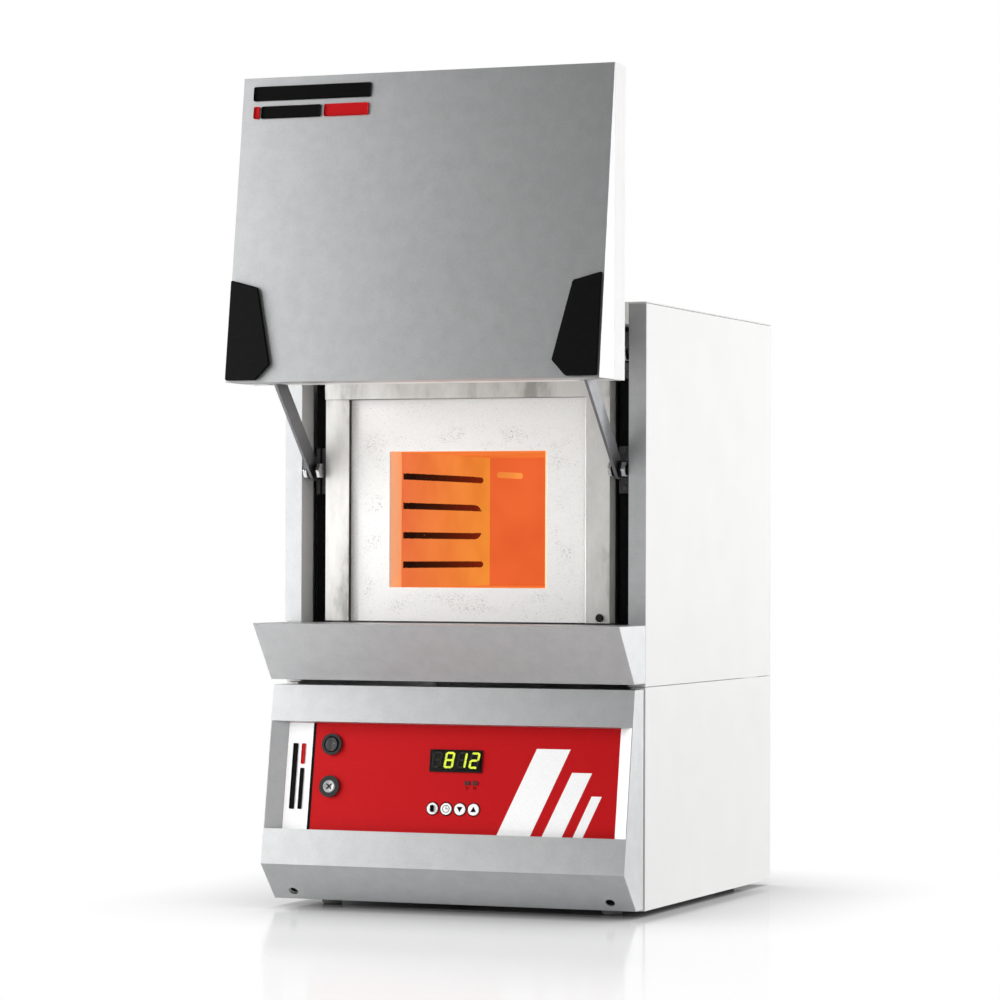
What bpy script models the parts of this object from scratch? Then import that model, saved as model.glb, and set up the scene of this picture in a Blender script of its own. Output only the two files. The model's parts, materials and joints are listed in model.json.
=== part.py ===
"""Bench chamber furnace with a parallel-link door, drawn with the door open.

The drawing is in millimetres: x runs from the case's centre plane to its right
side, y runs back from the front edge of the side panels, and z runs up from the
underside of the casing. DRAWING turns it into the row's frame: metres, with the
origin on the floor at the centre of the whole object's box.
"""
import math

import bmesh
import bpy
from mathutils import Matrix, Vector

# ---- driving dimensions, in mm -------------------------------------------------
CASE_WIDTH = 375.0
CASE_HEIGHT = 578.0
CASE_DEPTH = 397.0
SPLIT_Z = 212.0            # joint between the control module and the furnace module
SHEET = 1.2                # gauge of the outer panels
GAP = 0.3                  # clearance between touching pieces
FOOT_HEIGHT = 6.0

UPRIGHT_INNER = 170.0      # inner edge of the front uprights, from the centre plane
UPRIGHT_RETURN = 28.0      # depth of the lip folded back from each upright
RAIL_BOTTOM_Z = 557.0      # lower edge of the rail across the top of the opening

FASCIA_HALF = 186.6
FASCIA_TOP = (-27.8, 210.0)       # (y, z) corners of the fascia's side view
FASCIA_CREASE = (-56.9, 37.6)
FASCIA_BOTTOM = (-23.0, 1.7)
FASCIA_BACK_Y = -3.3
WINDOW_TOP = 35.5                 # distances down the sloped front from its top edge
WINDOW_BOTTOM = 140.5
WINDOW_DEPTH = 10.0
PANEL_HALF = 171.5                # half width of the recessed control panel
WINDOW_LAND = 0.8                 # edge left between the window and the fascia's ends

LIP_TOP = (-75.9, 270.5)          # (y, z) corners of the sloped lip below the door
LIP_BOTTOM = (-32.1, 215.3)

CHAMBER_HALF = 75.0
CHAMBER_FLOOR = 305.0
CHAMBER_CEILING = 437.5
CHAMBER_FRONT = 27.3
CHAMBER_BACK = 263.0
MOUTH_HALF = 82.0                 # the collar's opening flares to this at its face
WALL = 20.0                       # thickness of the chamber's ceramic walls
SLOT_HEIGHTS = (414.0, 385.0, 356.0, 327.0)
SLOT_FRONT = 31.0
SLOT_BACK = 259.0
ELEMENT_X = 84.0
ELEMENT_R = 2.4

DOOR_HALF = 189.0
DOOR_Z = (500.0, 794.0)           # open position
DOOR_BACK_Y = -66.0
DOOR_SEAM_Y = -94.0
DOOR_NOSE_Y = -136.1              # front lower edge of the sloped skin
DOOR_CREST_Y = -95.6              # its upper edge

ARM_PIVOT = (3.0, 419.0)          # (y, z) of the lower arms' pivot on the case
ARM_REACH = (-94.0, 96.5)         # from that pivot to the door's pin, door open
PIVOT_RISE = 110.0                # upper arms' pivots above the lower ones
ARM_X = (157.0, 160.0)            # the arms' plane, from the centre plane
ARM_R = 9.5
PIN_R = 4.0
PIN_HOLE_R = 4.4

GLAND_END_Y = 412.0
HANDLE_PROUD = 4.6         # the handles' height above the door's skin
ORIGIN_Y = (GLAND_END_Y + DOOR_NOSE_Y - 4.2) / 2    # halfway from gland to handles

MM = 0.001
DRAWING = Matrix.Scale(MM, 4) @ Matrix.Translation((0, -ORIGIN_Y, FOOT_HEIGHT))

FINISHES = {               # colour (linear), roughness, metallic
    "white_enamel": ((0.80, 0.80, 0.80), 0.45, 0.0),
    "silver_enamel": ((0.45, 0.45, 0.46), 0.45, 0.5),
    "black_plastic": ((0.012, 0.012, 0.012), 0.6, 0.0),
    "black_steel": ((0.02, 0.02, 0.02), 0.6, 0.3),
    "zinc_steel": ((0.42, 0.42, 0.43), 0.4, 1.0),
    "bright_steel": ((0.72, 0.72, 0.70), 0.35, 0.8),
    "ceramic_board": ((0.78, 0.76, 0.72), 0.95, 0.0),
    "hot_ceramic": ((0.85, 0.22, 0.05), 0.9, 0.0),
    "fibre_board": ((0.70, 0.68, 0.62), 0.95, 0.0),
    "element_alloy": ((0.10, 0.06, 0.05), 0.7, 0.6),
    "red_panel": ((0.55, 0.01, 0.015), 0.45, 0.0),
    "key_white": ((0.80, 0.80, 0.80), 0.5, 0.0),
    "lens_clear": ((0.75, 0.75, 0.74), 0.2, 0.0),
    "display_dark": ((0.02, 0.02, 0.018), 0.25, 0.0),
    "circuit_green": ((0.02, 0.16, 0.05), 0.5, 0.0),
    "rubber_black": ((0.02, 0.02, 0.02), 0.85, 0.0),
}

# ---- scene and materials ---------------------------------------------------------
for old in list(bpy.data.objects):
    bpy.data.objects.remove(old, do_unlink=True)

PARTS = bpy.data.collections.new("chamber_furnace")
TOOLS = bpy.data.collections.new("cutting_tools")
for collection in (PARTS, TOOLS):
    bpy.context.scene.collection.children.link(collection)


def finish(name):
    """The Principled material of one finish, made on first use."""
    if name in bpy.data.materials:
        return bpy.data.materials[name]
    colour, roughness, metallic = FINISHES[name]
    material = bpy.data.materials.new(name)
    material.use_nodes = True
    shader = material.node_tree.nodes["Principled BSDF"]
    shader.inputs["Base Color"].default_value = (*colour, 1.0)
    shader.inputs["Roughness"].default_value = roughness
    shader.inputs["Metallic"].default_value = metallic
    return material


def add_object(name, data, finish_name):
    """A named part, or a hidden tool when it has no finish."""
    obj = bpy.data.objects.new(name, data)
    if finish_name is None:
        TOOLS.objects.link(obj)
        obj.hide_render = True
        obj.display_type = "WIRE"
    else:
        PARTS.objects.link(obj)
        data.materials.append(finish(finish_name))
    return obj


def from_bmesh(name, bm, finish_name, space=Matrix.Identity(4)):
    """Turn a bmesh drawn in mm into an object in the row's frame."""
    bmesh.ops.transform(bm, matrix=DRAWING @ space, verts=bm.verts)
    mesh = bpy.data.meshes.new(name)
    bm.to_mesh(mesh)
    bm.free()
    return add_object(name, mesh, finish_name)


# ---- shapes ------------------------------------------------------------------------
def box_bmesh(low, high):
    bm = bmesh.new()
    bmesh.ops.create_cube(bm, size=1.0)
    low, high = Vector(low), Vector(high)
    bmesh.ops.scale(bm, vec=high - low, verts=bm.verts)
    bmesh.ops.translate(bm, vec=(low + high) / 2, verts=bm.verts)
    return bm


def block(name, low, high, finish_name=None, space=Matrix.Identity(4)):
    return from_bmesh(name, box_bmesh(low, high), finish_name, space)


def solidify(obj, thickness, offset=-1.0):
    wall = obj.modifiers.new("gauge", "SOLIDIFY")
    wall.thickness = thickness * MM
    wall.offset = offset
    wall.use_even_offset = True


def pan(name, low, high, open_sides, finish_name, thickness=SHEET):
    """A folded sheet box with the sides named in open_sides ('-y', '+z') left out."""
    bm = box_bmesh(low, high)
    gone = []
    for face in bm.faces:
        for side in open_sides:
            axis = "xyz".index(side[1])
            if face.normal[axis] * (1 if side[0] == "+" else -1) > 0.5:
                gone.append(face)
    bmesh.ops.delete(bm, geom=gone, context="FACES")
    obj = from_bmesh(name, bm, finish_name)
    solidify(obj, thickness)
    return obj


TURN = {                   # local x, y, z of a flat outline to drawing axes
    "YZ": Matrix(((0, 0, 1, 0), (1, 0, 0, 0), (0, 1, 0, 0), (0, 0, 0, 1))),
    "XZ": Matrix(((1, 0, 0, 0), (0, 0, -1, 0), (0, 1, 0, 0), (0, 0, 0, 1))),
    "XY": Matrix.Identity(4),
}


def prism(name, outline, plane, low, high, finish_name=None, space=Matrix.Identity(4)):
    """A filled flat outline in the given plane, thick from low to high across it."""
    curve = bpy.data.curves.new(name + "_outline", "CURVE")
    curve.dimensions = "2D"
    curve.fill_mode = "BOTH"
    curve.extrude = (high - low) / 2
    spline = curve.splines.new("POLY")
    spline.points.add(len(outline) - 1)
    for point, (across, up) in zip(spline.points, outline):
        point.co = (across, up, 0, 1)
    spline.use_cyclic_u = True
    drawn = bpy.data.objects.new(name + "_outline", curve)
    TOOLS.objects.link(drawn)
    evaluated = drawn.evaluated_get(bpy.context.evaluated_depsgraph_get())
    bm = bmesh.new()
    bm.from_mesh(bpy.data.meshes.new_from_object(evaluated))
    bpy.data.objects.remove(drawn, do_unlink=True)
    bmesh.ops.remove_doubles(bm, verts=bm.verts, dist=0.001)
    middle = (low + high) / 2
    lift = Matrix.Translation((0, 0, -middle if plane == "XZ" else middle))
    return from_bmesh(name, bm, finish_name, space @ TURN[plane] @ lift)


def folded(name, path, plane, low, high, finish_name, thickness=SHEET, side=-1.0):
    """Sheet metal bent along a path in the plane, and extruded across it."""
    bm = bmesh.new()
    points = [bm.verts.new((across, up, low)) for across, up in path]
    edges = [bm.edges.new(pair) for pair in zip(points, points[1:])]
    swept = bmesh.ops.extrude_edge_only(bm, edges=edges)["geom"]
    moved = [item for item in swept if isinstance(item, bmesh.types.BMVert)]
    bmesh.ops.translate(bm, vec=(0, 0, high - low), verts=moved)
    obj = from_bmesh(name, bm, finish_name, TURN[plane])
    solidify(obj, thickness, side)
    return obj


def rod(name, start, end, radius, finish_name=None, sides=20, space=Matrix.Identity(4)):
    start, end = Vector(start), Vector(end)
    along = end - start
    bm = bmesh.new()
    bmesh.ops.create_cone(bm, cap_ends=True, segments=sides, radius1=radius,
                          radius2=radius, depth=along.length)
    turn = Vector((0, 0, 1)).rotation_difference(along).to_matrix().to_4x4()
    stand = Matrix.Translation((start + end) / 2) @ turn
    obj = from_bmesh(name, bm, finish_name, space @ stand)
    obj.data.shade_smooth()
    obj.data.set_sharp_from_angle(angle=math.radians(40))
    return obj


def turned(name, profile, base, axis, finish_name=None, closed=False, sides=20):
    """A turned piece: (radius, height) points, from its top down, about the axis."""
    bm = bmesh.new()
    points = [bm.verts.new((radius * MM, 0, height * MM)) for radius, height in profile]
    loop = zip(points, points[1:] + points[:1]) if closed else zip(points, points[1:])
    for pair in loop:
        bm.edges.new(pair)
    mesh = bpy.data.meshes.new(name)
    bm.to_mesh(mesh)
    bm.free()
    obj = add_object(name, mesh, finish_name)
    obj.location = DRAWING @ Vector(base)
    obj.rotation_euler = Vector((0, 0, 1)).rotation_difference(Vector(axis)).to_euler()
    screw = obj.modifiers.new("turn", "SCREW")
    screw.steps = sides
    screw.render_steps = sides
    screw.use_merge_vertices = True
    screw.merge_threshold = 0.00001
    return obj


def boolean(target, operation, *tools):
    for tool in tools:
        modifier = target.modifiers.new(tool.name, "BOOLEAN")
        modifier.operation = operation
        modifier.object = tool
    return target


def cut(target, *tools):
    return boolean(target, "DIFFERENCE", *tools)


def join(target, *tools):
    return boolean(target, "UNION", *tools)


def carry(name, pivot, pieces):
    """Parent the pieces to an empty that stands on their joint's axis."""
    hub = bpy.data.objects.new(name, None)
    PARTS.objects.link(hub)
    hub.location = DRAWING @ Vector(pivot)
    for piece in pieces:
        piece.parent = hub
        piece.matrix_parent_inverse = Matrix.Translation(-hub.location)


def slope_space(foot, head):
    """Axes on a sloped sheet: x across, y up the slope, z out of the front."""
    rise = Vector((0, head[0] - foot[0], head[1] - foot[1])).normalized()
    out = Vector((1, 0, 0)).cross(rise)
    turn = Matrix((Vector((1, 0, 0)), rise, out)).transposed().to_4x4()
    return Matrix.Translation((0, *foot)) @ turn


def inset(outline, distance):
    """A convex outline, listed anticlockwise, moved inwards by a distance."""
    lines = []
    for (x0, y0), (x1, y1) in zip(outline, outline[1:] + outline[:1]):
        length = math.hypot(x1 - x0, y1 - y0)
        nx, ny = -(y1 - y0) / length, (x1 - x0) / length
        lines.append((nx, ny, nx * x0 + ny * y0 + distance))
    corners = []
    for (a, b, c), (d, e, f) in zip(lines[-1:] + lines[:-1], lines):
        det = a * e - b * d
        corners.append(((c * e - b * f) / det, (a * f - c * d) / det))
    return corners


SIDES = (("left", -1), ("right", 1))


def span(side, inner, outer):
    """An x range given from the centre plane, on the left or the right side."""
    return sorted((side * inner, side * outer))


# ---- casing ------------------------------------------------------------------------
def make_base():
    half = CASE_WIDTH / 2 - SHEET - 0.4
    pan("base_chassis", (-half, 1.8, GAP), (half, 393, 25), ("+z",), "zinc_steel", 1.5)
    for end, y in (("front", 24), ("rear", 368)):
        for label, side in SIDES:
            x = side * 146
            foot = rod(f"foot_{end}_{label}", (x, y, -FOOT_HEIGHT), (x, y, 0), 11, "rubber_black")
            bevel = foot.modifiers.new("edge", "BEVEL")
            bevel.width = 0.8 * MM
            bevel.limit_method = "ANGLE"


def make_side_panels():
    outer = CASE_WIDTH / 2
    for label, side in SIDES:
        lower = [(side * 172.5, 0), (side * outer, 0), (side * outer, CASE_DEPTH),
                 (side * 172.5, CASE_DEPTH)]
        folded(f"lower_side_{label}", lower, "XY", 0, SPLIT_Z - 0.2, "white_enamel", side=side)
        upper = [(side * UPRIGHT_INNER, UPRIGHT_RETURN), (side * UPRIGHT_INNER, 0)] + lower[1:]
        folded(f"upper_side_{label}", upper, "XY", SPLIT_Z + 0.2, CASE_HEIGHT - SHEET - GAP,
               "white_enamel", side=side)


def make_top_cover():
    half = CASE_WIDTH / 2
    cover = block("top_cover", (-half, 0, CASE_HEIGHT - SHEET), (half, CASE_DEPTH, CASE_HEIGHT),
                  "white_enamel")
    rail_half = UPRIGHT_INNER - 0.5
    rail = pan("top_rail", (-rail_half, 0, RAIL_BOTTOM_Z), (rail_half, 30, CASE_HEIGHT - 0.6),
               ("+z", "+y", "-x", "+x"), None)
    join(cover, rail)


def vent_slots(z_first, count, x_centre):
    """Cutters for one column of cooling slots in a rear panel."""
    return [block(f"vent_{x_centre:.0f}_{z_first:.0f}_{row}",
                  (x_centre - 28, CASE_DEPTH - 5, z_first + 11 * row),
                  (x_centre + 28, CASE_DEPTH + 8, z_first + 11 * row + 4))
            for row in range(count)]


GLAND = (118.0, 44.0)      # (x, z) of the mains cable's gland


def make_rear():
    front = CASE_DEPTH + GAP
    upper = block("upper_rear_panel", (-184, front, SPLIT_Z + 3), (184, front + SHEET, 574),
                  "white_enamel")
    cut(upper, *(slot for x in (-70, 70) for slot in vent_slots(480, 6, x)))
    lower = block("lower_rear_panel", (-184, front, 4), (184, front + SHEET, SPLIT_Z - 3),
                  "white_enamel")
    cut(lower, *vent_slots(120, 5, -90))
    x, z = GLAND
    cut(lower, rod("gland_hole", (x, CASE_DEPTH - 5, z), (x, CASE_DEPTH + 8, z), 8.4))
    profile = [(4.5, GLAND_END_Y), (7.0, GLAND_END_Y), (8.5, 408), (8.5, 406), (11.5, 406),
               (11.5, 398.8), (8.0, 398.8), (8.0, 386), (4.5, 386)]
    turned("cable_gland", profile, (x, 0, z), (0, 1, 0), "black_plastic", closed=True)


def make_lip():
    """The sloped lip under the chamber's mouth, hollow and open at the back."""
    half = CASE_WIDTH / 2
    outline = [(-0.6, LIP_TOP[1]), LIP_TOP, LIP_BOTTOM, (-0.6, LIP_BOTTOM[1])]
    lip = prism("lip_panel", outline, "YZ", -half, half, "silver_enamel")
    core = inset(outline, 1.5)
    core = [(12, core[0][1]), core[1], core[2], (12, core[3][1])]
    cut(lip, prism("lip_hollow", core, "YZ", -half + 1.5, half - 1.5))
    join(lip, block("lip_shelf", (-169.5, -20, LIP_TOP[1] - 1.5), (169.5, 40, LIP_TOP[1])))


# ---- control module --------------------------------------------------------------------
FASCIA_SPACE = slope_space(FASCIA_CREASE, FASCIA_TOP)
SLOPE = math.dist(FASCIA_CREASE, FASCIA_TOP)
PANEL_FACE = -(WINDOW_DEPTH + GAP)      # the control panel's face, out of the slope


def on_panel(down):
    """Height up the slope of a point given as a distance down from its top edge."""
    return SLOPE - down


def make_fascia():
    outline = [(FASCIA_BACK_Y, FASCIA_TOP[1]), FASCIA_TOP, FASCIA_CREASE, FASCIA_BOTTOM,
               (FASCIA_BACK_Y, FASCIA_BOTTOM[1])]
    fascia = prism("fascia", outline, "YZ", -FASCIA_HALF, FASCIA_HALF, "silver_enamel")
    wall = 1.5
    core = inset(outline, wall)
    core = [(5, core[0][1])] + core[1:4] + [(5, core[4][1])]
    hollow = prism("fascia_hollow", core, "YZ", -FASCIA_HALF + wall, FASCIA_HALF - wall)
    mouth = FASCIA_HALF - WINDOW_LAND
    flare = (mouth - PANEL_HALF) / WINDOW_DEPTH
    low, high = on_panel(WINDOW_BOTTOM), on_panel(WINDOW_TOP)

    def pocket(name, out, back, grow):
        """A recess with splayed ends, from out of the face to back below it."""
        edge = [mouth + flare * out + grow, PANEL_HALF + grow]
        outline = [(-edge[0], -out), (-edge[1], WINDOW_DEPTH), (-edge[1], back),
                   (edge[1], back), (edge[1], WINDOW_DEPTH), (edge[0], -out)]
        turn = Matrix(((1, 0, 0, 0), (0, 0, 1, 0), (0, -1, 0, 0), (0, 0, 0, 1)))
        return prism(name, outline, "XY", low - grow, high + grow, space=FASCIA_SPACE @ turn)

    cut(hollow, pocket("window_surround", 2, WINDOW_DEPTH + 0.01, wall + 0.2))
    cut(fascia, hollow, pocket("window", 1, WINDOW_DEPTH + 6, 0))
    bottom_space = slope_space(FASCIA_BOTTOM, FASCIA_CREASE)
    for label, side in SIDES:
        cut(fascia, rod(f"fixing_hole_{label}", (side * 163.5, 11, -8), (side * 163.5, 11, 8), 4.7,
                        space=bottom_space))


DISPLAY = ((-20.8, 33.2), (59.0, 80.6))     # x range, and distances down the slope
SWITCH = (-124.2, 56.5)                     # x, distance down the slope
LAMP = (-123.8, 97.4)
KEYS = (("key_page", -15.0), ("key_clock", -0.9), ("key_down", 13.2), ("key_up", 27.3))
KEYS_DOWN = 115.9
KEY_R = 5.6
ROCKER_TILT = 7.0


def disc(name, place, radius, low, high, finish_name=None, sides=24):
    """A round piece that stands out of the control panel, from low to high."""
    x, down = place
    return rod(name, (x, on_panel(down), PANEL_FACE + low), (x, on_panel(down), PANEL_FACE + high),
               radius, finish_name, sides, FASCIA_SPACE)


def panel_block(name, across, down, low, high, finish_name=None):
    return block(name, (across[0], on_panel(down[1]), PANEL_FACE + low),
                 (across[1], on_panel(down[0]), PANEL_FACE + high), finish_name, FASCIA_SPACE)


def bezel(name, place, outer, inner):
    """A round bezel with its sleeve through the panel, open down the middle."""
    body = disc(name, place, outer, GAP, 2.4, "black_plastic")
    join(body, disc(name + "_sleeve", place, outer - 1.6, -14, 1.0))
    return cut(body, disc(name + "_bore", place, inner, -16, 4))


def make_control_panel():
    panel = panel_block("control_panel", (-173, 173), (WINDOW_TOP - 2.5, WINDOW_BOTTOM + 2.5),
                        -2, 0, "red_panel")
    (left, right), (top, bottom) = DISPLAY
    cut(panel, panel_block("display_hole", (left + 1.2, right - 1.2), (top + 1.2, bottom - 1.2), -4, 2))
    for name, place in (("switch_hole", SWITCH), ("lamp_hole", LAMP)):
        cut(panel, disc(name, place, 9.3, -4, 2))
    screen = panel_block("display_module", (left, right), (top, bottom), GAP, 1.1, "display_dark")
    join(screen, panel_block("display_body", (left + 1.6, right - 1.6), (top + 1.6, bottom - 1.6),
                             -9, 0.6))
    bezel("switch_bezel", SWITCH, 10.5, 7.8)
    bezel("lamp_bezel", LAMP, 10.5, 6.6)
    lens = disc("lamp_lens", LAMP, 6.2, -10, 3.0, "lens_clear")
    edge = lens.modifiers.new("facet", "BEVEL")
    edge.width = 1.5 * MM
    edge.limit_method = "ANGLE"

    x, down = SWITCH
    swing = FASCIA_SPACE @ Matrix.Translation((x, on_panel(down), PANEL_FACE - 2))
    lean = Matrix.Rotation(math.radians(-ROCKER_TILT), 4, "Y")
    rocker = rod("switch_rocker", (0, 0, -1.5), (0, 0, 4.2), 7.0, "black_plastic", 24, swing @ lean)
    carry("rocker_axis", swing.to_translation(), [rocker])

    for name, x in KEYS:
        key = disc(name, (x, KEYS_DOWN), KEY_R, -3.6, 1.0, "key_white")
        carry(name + "_axis", FASCIA_SPACE @ Vector((x, on_panel(KEYS_DOWN), PANEL_FACE)), [key])
        cut(panel, disc(name + "_hole", (x, KEYS_DOWN), KEY_R + 0.4, -4, 2))

    board = panel_block("controller_board", (-58, 66), (46, 132), -11.2, -9.6, "circuit_green")
    for x in (-53, 61):
        for down in (51, 127):
            join(board, disc(f"standoff_{x}_{down}", (x, down), 3, -10, -2 - GAP, sides=12))


def make_power_parts():
    relay = block("power_relay", (-110, 120, 26), (-65, 180, 56), "black_plastic")
    join(relay, block("relay_heatsink", (-125, 105, 2.4), (-50, 195, 30)))
    cut(relay, *(block(f"fin_gap_{row}", (-121 + 12 * row, 100, 6), (-115 + 12 * row, 200, 22))
                 for row in range(6)))
    half = CASE_WIDTH / 2 - SHEET - 0.4
    divider = pan("divider_plate", (-half, 42, SPLIT_Z + 1), (half, 393, SPLIT_Z + 14), ("+z", "-y"),
                  "zinc_steel", 1.5)
    cut(divider, rod("wiring_hole", (-60, 350, SPLIT_Z - 5), (-60, 350, SPLIT_Z + 8), 14))


# ---- heating chamber -------------------------------------------------------------------
def make_frame():
    """The three bright angles that close the gap round the ceramic collar."""
    for label, side in SIDES:
        path = [(side * 123.2, 8), (side * 148, 8), (side * 148, 24.4)]
        leg = folded(f"frame_leg_{label}", path, "XY", 272, 503.2, "bright_steel", side=side)
        if side > 0:
            x, z = DOOR_SWITCH
            cut(leg, rod("plunger_hole", (x, 0, z), (x, 14, z), 3.8))
    pan("frame_top_bar", (-148, 5.6, 488.6), (148, 24.4, 505), ("+y", "-z", "-x", "+x"), "bright_steel")


DOOR_SWITCH = (138.0, 277.0)      # (x, z) of the door switch's plunger


def make_door_switch():
    x, z = DOOR_SWITCH
    body = block("door_switch_body", (x - 9, 10, 272.4), (x + 8, 24.4, 292), "black_plastic")
    cut(body, rod("plunger_well", (x, 5, z), (x, 21, z), 3.5))
    plunger = rod("door_switch_plunger", (x, 5, z), (x, 16, z), 3.1, "black_plastic")
    carry("plunger_axis", (x, 5, z), [plunger])


def make_chamber():
    collar = block("chamber_collar", (-122.7, 13, 272.3), (122.7, CHAMBER_FRONT - GAP, 488.2),
                   "ceramic_board")
    flare = [(-MOUTH_HALF - 2, 9), (-CHAMBER_HALF, CHAMBER_FRONT), (-CHAMBER_HALF, 40),
             (CHAMBER_HALF, 40), (CHAMBER_HALF, CHAMBER_FRONT), (MOUTH_HALF + 2, 9)]
    cut(collar, prism("mouth", flare, "XY", CHAMBER_FLOOR, CHAMBER_CEILING))

    outer = CHAMBER_HALF + WALL
    back = CHAMBER_BACK + WALL
    for label, side in SIDES:
        low, high = span(side, CHAMBER_HALF, outer)
        wall = block(f"chamber_wall_{label}", (low, CHAMBER_FRONT, CHAMBER_FLOOR + GAP),
                     (high, CHAMBER_BACK - GAP, CHAMBER_CEILING - GAP), "hot_ceramic")
        low, high = span(side, CHAMBER_HALF - 1, outer + 1)
        cut(wall, *(block(f"slot_{label}_{z:.0f}", (low, SLOT_FRONT, z - 3.5), (high, SLOT_BACK, z + 3.5))
                    for z in SLOT_HEIGHTS))
        low, high = span(side, CHAMBER_HALF + 5.5, outer + 1)
        for index, (upper, lower) in enumerate(zip(SLOT_HEIGHTS, SLOT_HEIGHTS[1:])):
            start = SLOT_FRONT + 0.2 if index % 2 == 0 else SLOT_BACK - 19.2
            cut(wall, block(f"bend_{label}_{index}", (low, start, lower - 3.2), (high, start + 19, upper + 3.2)))
        tails = [rod(f"tail_{label}_{z:.0f}", (side * ELEMENT_X, SLOT_BACK - 4, z),
                     (side * ELEMENT_X, 340, z), 3.3, sides=12) for z in SLOT_HEIGHTS[::3]]
        cut(wall, *tails)
    block("chamber_roof", (-outer, CHAMBER_FRONT, CHAMBER_CEILING),
          (outer, back, CHAMBER_CEILING + WALL), "hot_ceramic")
    block("chamber_hearth", (-outer, CHAMBER_FRONT, CHAMBER_FLOOR - WALL), (outer, back, CHAMBER_FLOOR),
          "hot_ceramic")
    rear = block("chamber_rear_wall", (-outer, CHAMBER_BACK, CHAMBER_FLOOR + GAP),
                 (outer, back, CHAMBER_CEILING - GAP), "hot_ceramic")

    jacket = block("insulation_jacket", (-146.4, CHAMBER_FRONT, 272.3), (146.4, 320.6, 503),
                   "fibre_board")
    cut(jacket, block("jacket_room", (-outer - GAP, 20, CHAMBER_FLOOR - WALL - GAP),
                      (outer + GAP, back + GAP, CHAMBER_CEILING + WALL + GAP)))
    casing = pan("chamber_casing", (-147.8, 24.9, 270.9), (147.8, 322, 504.3), ("-y",), "zinc_steel", 1.0)
    probe_x, probe_z = PROBE
    for piece in (rear, jacket, casing):
        cut(piece, rod("probe_way_" + piece.name, (probe_x, 255, probe_z), (probe_x, 330, probe_z), 3.5))
        for label, side in SIDES:
            for z in SLOT_HEIGHTS[::3]:
                cut(piece, rod(f"way_{piece.name}_{label}_{z:.0f}", (side * ELEMENT_X, 258, z),
                               (side * ELEMENT_X, 335, z), 3.4, sides=12))
    pan("chamber_stand", (-130, 45, SPLIT_Z + 3), (130, 320, 270.6), ("-z", "-y", "+y"), "zinc_steel", 1.5)


PROBE = (-42.0, 418.5)     # (x, z) of the thermocouple


def make_thermocouple():
    x, z = PROBE
    profile = [(0, 203), (2, 203.6), (3, 206), (3, 322.6), (9, 322.6), (9, 346), (0, 346)]
    turned("thermocouple", [(r, -y) for r, y in profile], (x, 0, z), (0, -1, 0), "ceramic_board", sides=16)


def make_elements():
    """Each element runs back and forth in its wall's four slots, in one piece."""
    for label, side in SIDES:
        points = [(330.0, SLOT_HEIGHTS[0])]
        for index, (upper, lower) in enumerate(zip(SLOT_HEIGHTS, SLOT_HEIGHTS[1:])):
            bend = (upper - lower) / 2
            front = index % 2 == 0
            centre = (SLOT_FRONT + bend + 3.2) if front else (SLOT_BACK - bend - 3.2)
            for step in range(9):
                angle = math.pi * step / 8
                reach = bend * math.sin(angle) * (-1 if front else 1)
                points.append((centre + reach, (upper + lower) / 2 + bend * math.cos(angle)))
        points.append((330.0, SLOT_HEIGHTS[-1]))
        wire = bpy.data.curves.new(f"heating_element_{label}", "CURVE")
        wire.dimensions = "3D"
        wire.bevel_depth = ELEMENT_R * MM
        wire.bevel_resolution = 2
        wire.use_fill_caps = True
        spline = wire.splines.new("POLY")
        spline.points.add(len(points) - 1)
        for point, (y, z) in zip(spline.points, points):
            point.co = (*(DRAWING @ Vector((side * ELEMENT_X, y, z))), 1)
        add_object(f"heating_element_{label}", wire, "element_alloy")


# ---- door and linkage --------------------------------------------------------------------
def door_pin(level):
    """(y, z) of a door pin with the door open; level 0 is lower, 1 is upper."""
    return (ARM_PIVOT[0] + ARM_REACH[0], ARM_PIVOT[1] + ARM_REACH[1] + level * PIVOT_RISE)


def case_pin(level):
    return (ARM_PIVOT[0], ARM_PIVOT[1] + level * PIVOT_RISE)


def stadium(start, end, radius, steps=8):
    """A bar's outline with a round end about each of two points."""
    heading = math.atan2(end[1] - start[1], end[0] - start[0])
    outline = []
    for centre, turn in ((end, heading - math.pi / 2), (start, heading + math.pi / 2)):
        for step in range(steps + 1):
            angle = turn + math.pi * step / steps
            outline.append((centre[0] + radius * math.cos(angle), centre[1] + radius * math.sin(angle)))
    return outline


def make_arms():
    for level, row in enumerate(("lower", "upper")):
        pieces = []
        for label, side in SIDES:
            low, high = span(side, *ARM_X)
            arm = prism(f"{row}_arm_{label}", stadium(case_pin(level), door_pin(level), ARM_R), "YZ",
                        low, high, "zinc_steel")
            for end, (y, z) in (("case", case_pin(level)), ("door", door_pin(level))):
                cut(arm, rod(f"{arm.name}_{end}_eye", (low - 2, y, z), (high + 2, y, z), PIN_HOLE_R, sides=16))
            pieces.append(arm)
        carry(f"{row}_arms_axis", (0, *case_pin(level)), pieces)


def make_hinge_posts():
    """A black channel each side, with an ear and a headed pin for each arm."""
    for label, side in SIDES:
        path = [(side * 150, 62), (side * 150, 32), (side * 168, 32), (side * 168, 62)]
        post = folded(f"hinge_post_{label}", path, "XY", LIP_TOP[1] + GAP, 556, "black_steel", 2.0, side=side)
        for level in (0, 1):
            y, z = case_pin(level)
            low, high = span(side, 149.6, 167.4)
            foot = block(f"ear_foot_{label}_{level}", (low, 29.6, z - 23), (high, 33, z + 23))
            low, high = span(side, 161.2, 163.2)
            ear = prism(f"ear_{label}_{level}", stadium((y, z), (40, z), 8), "YZ", low, high)
            profile = [(0, 153.2), (6.2, 153.2), (6.2, 156.6), (PIN_R, 156.6), (PIN_R, 160.4),
                       (6.0, 160.4), (6.0, 165.6), (0, 165.6)]
            pin = turned(f"pin_{label}_{level}", [(r, -x) for r, x in profile], (0, y, z),
                         (-side, 0, 0), sides=16)
            join(post, foot, ear, pin)


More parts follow.
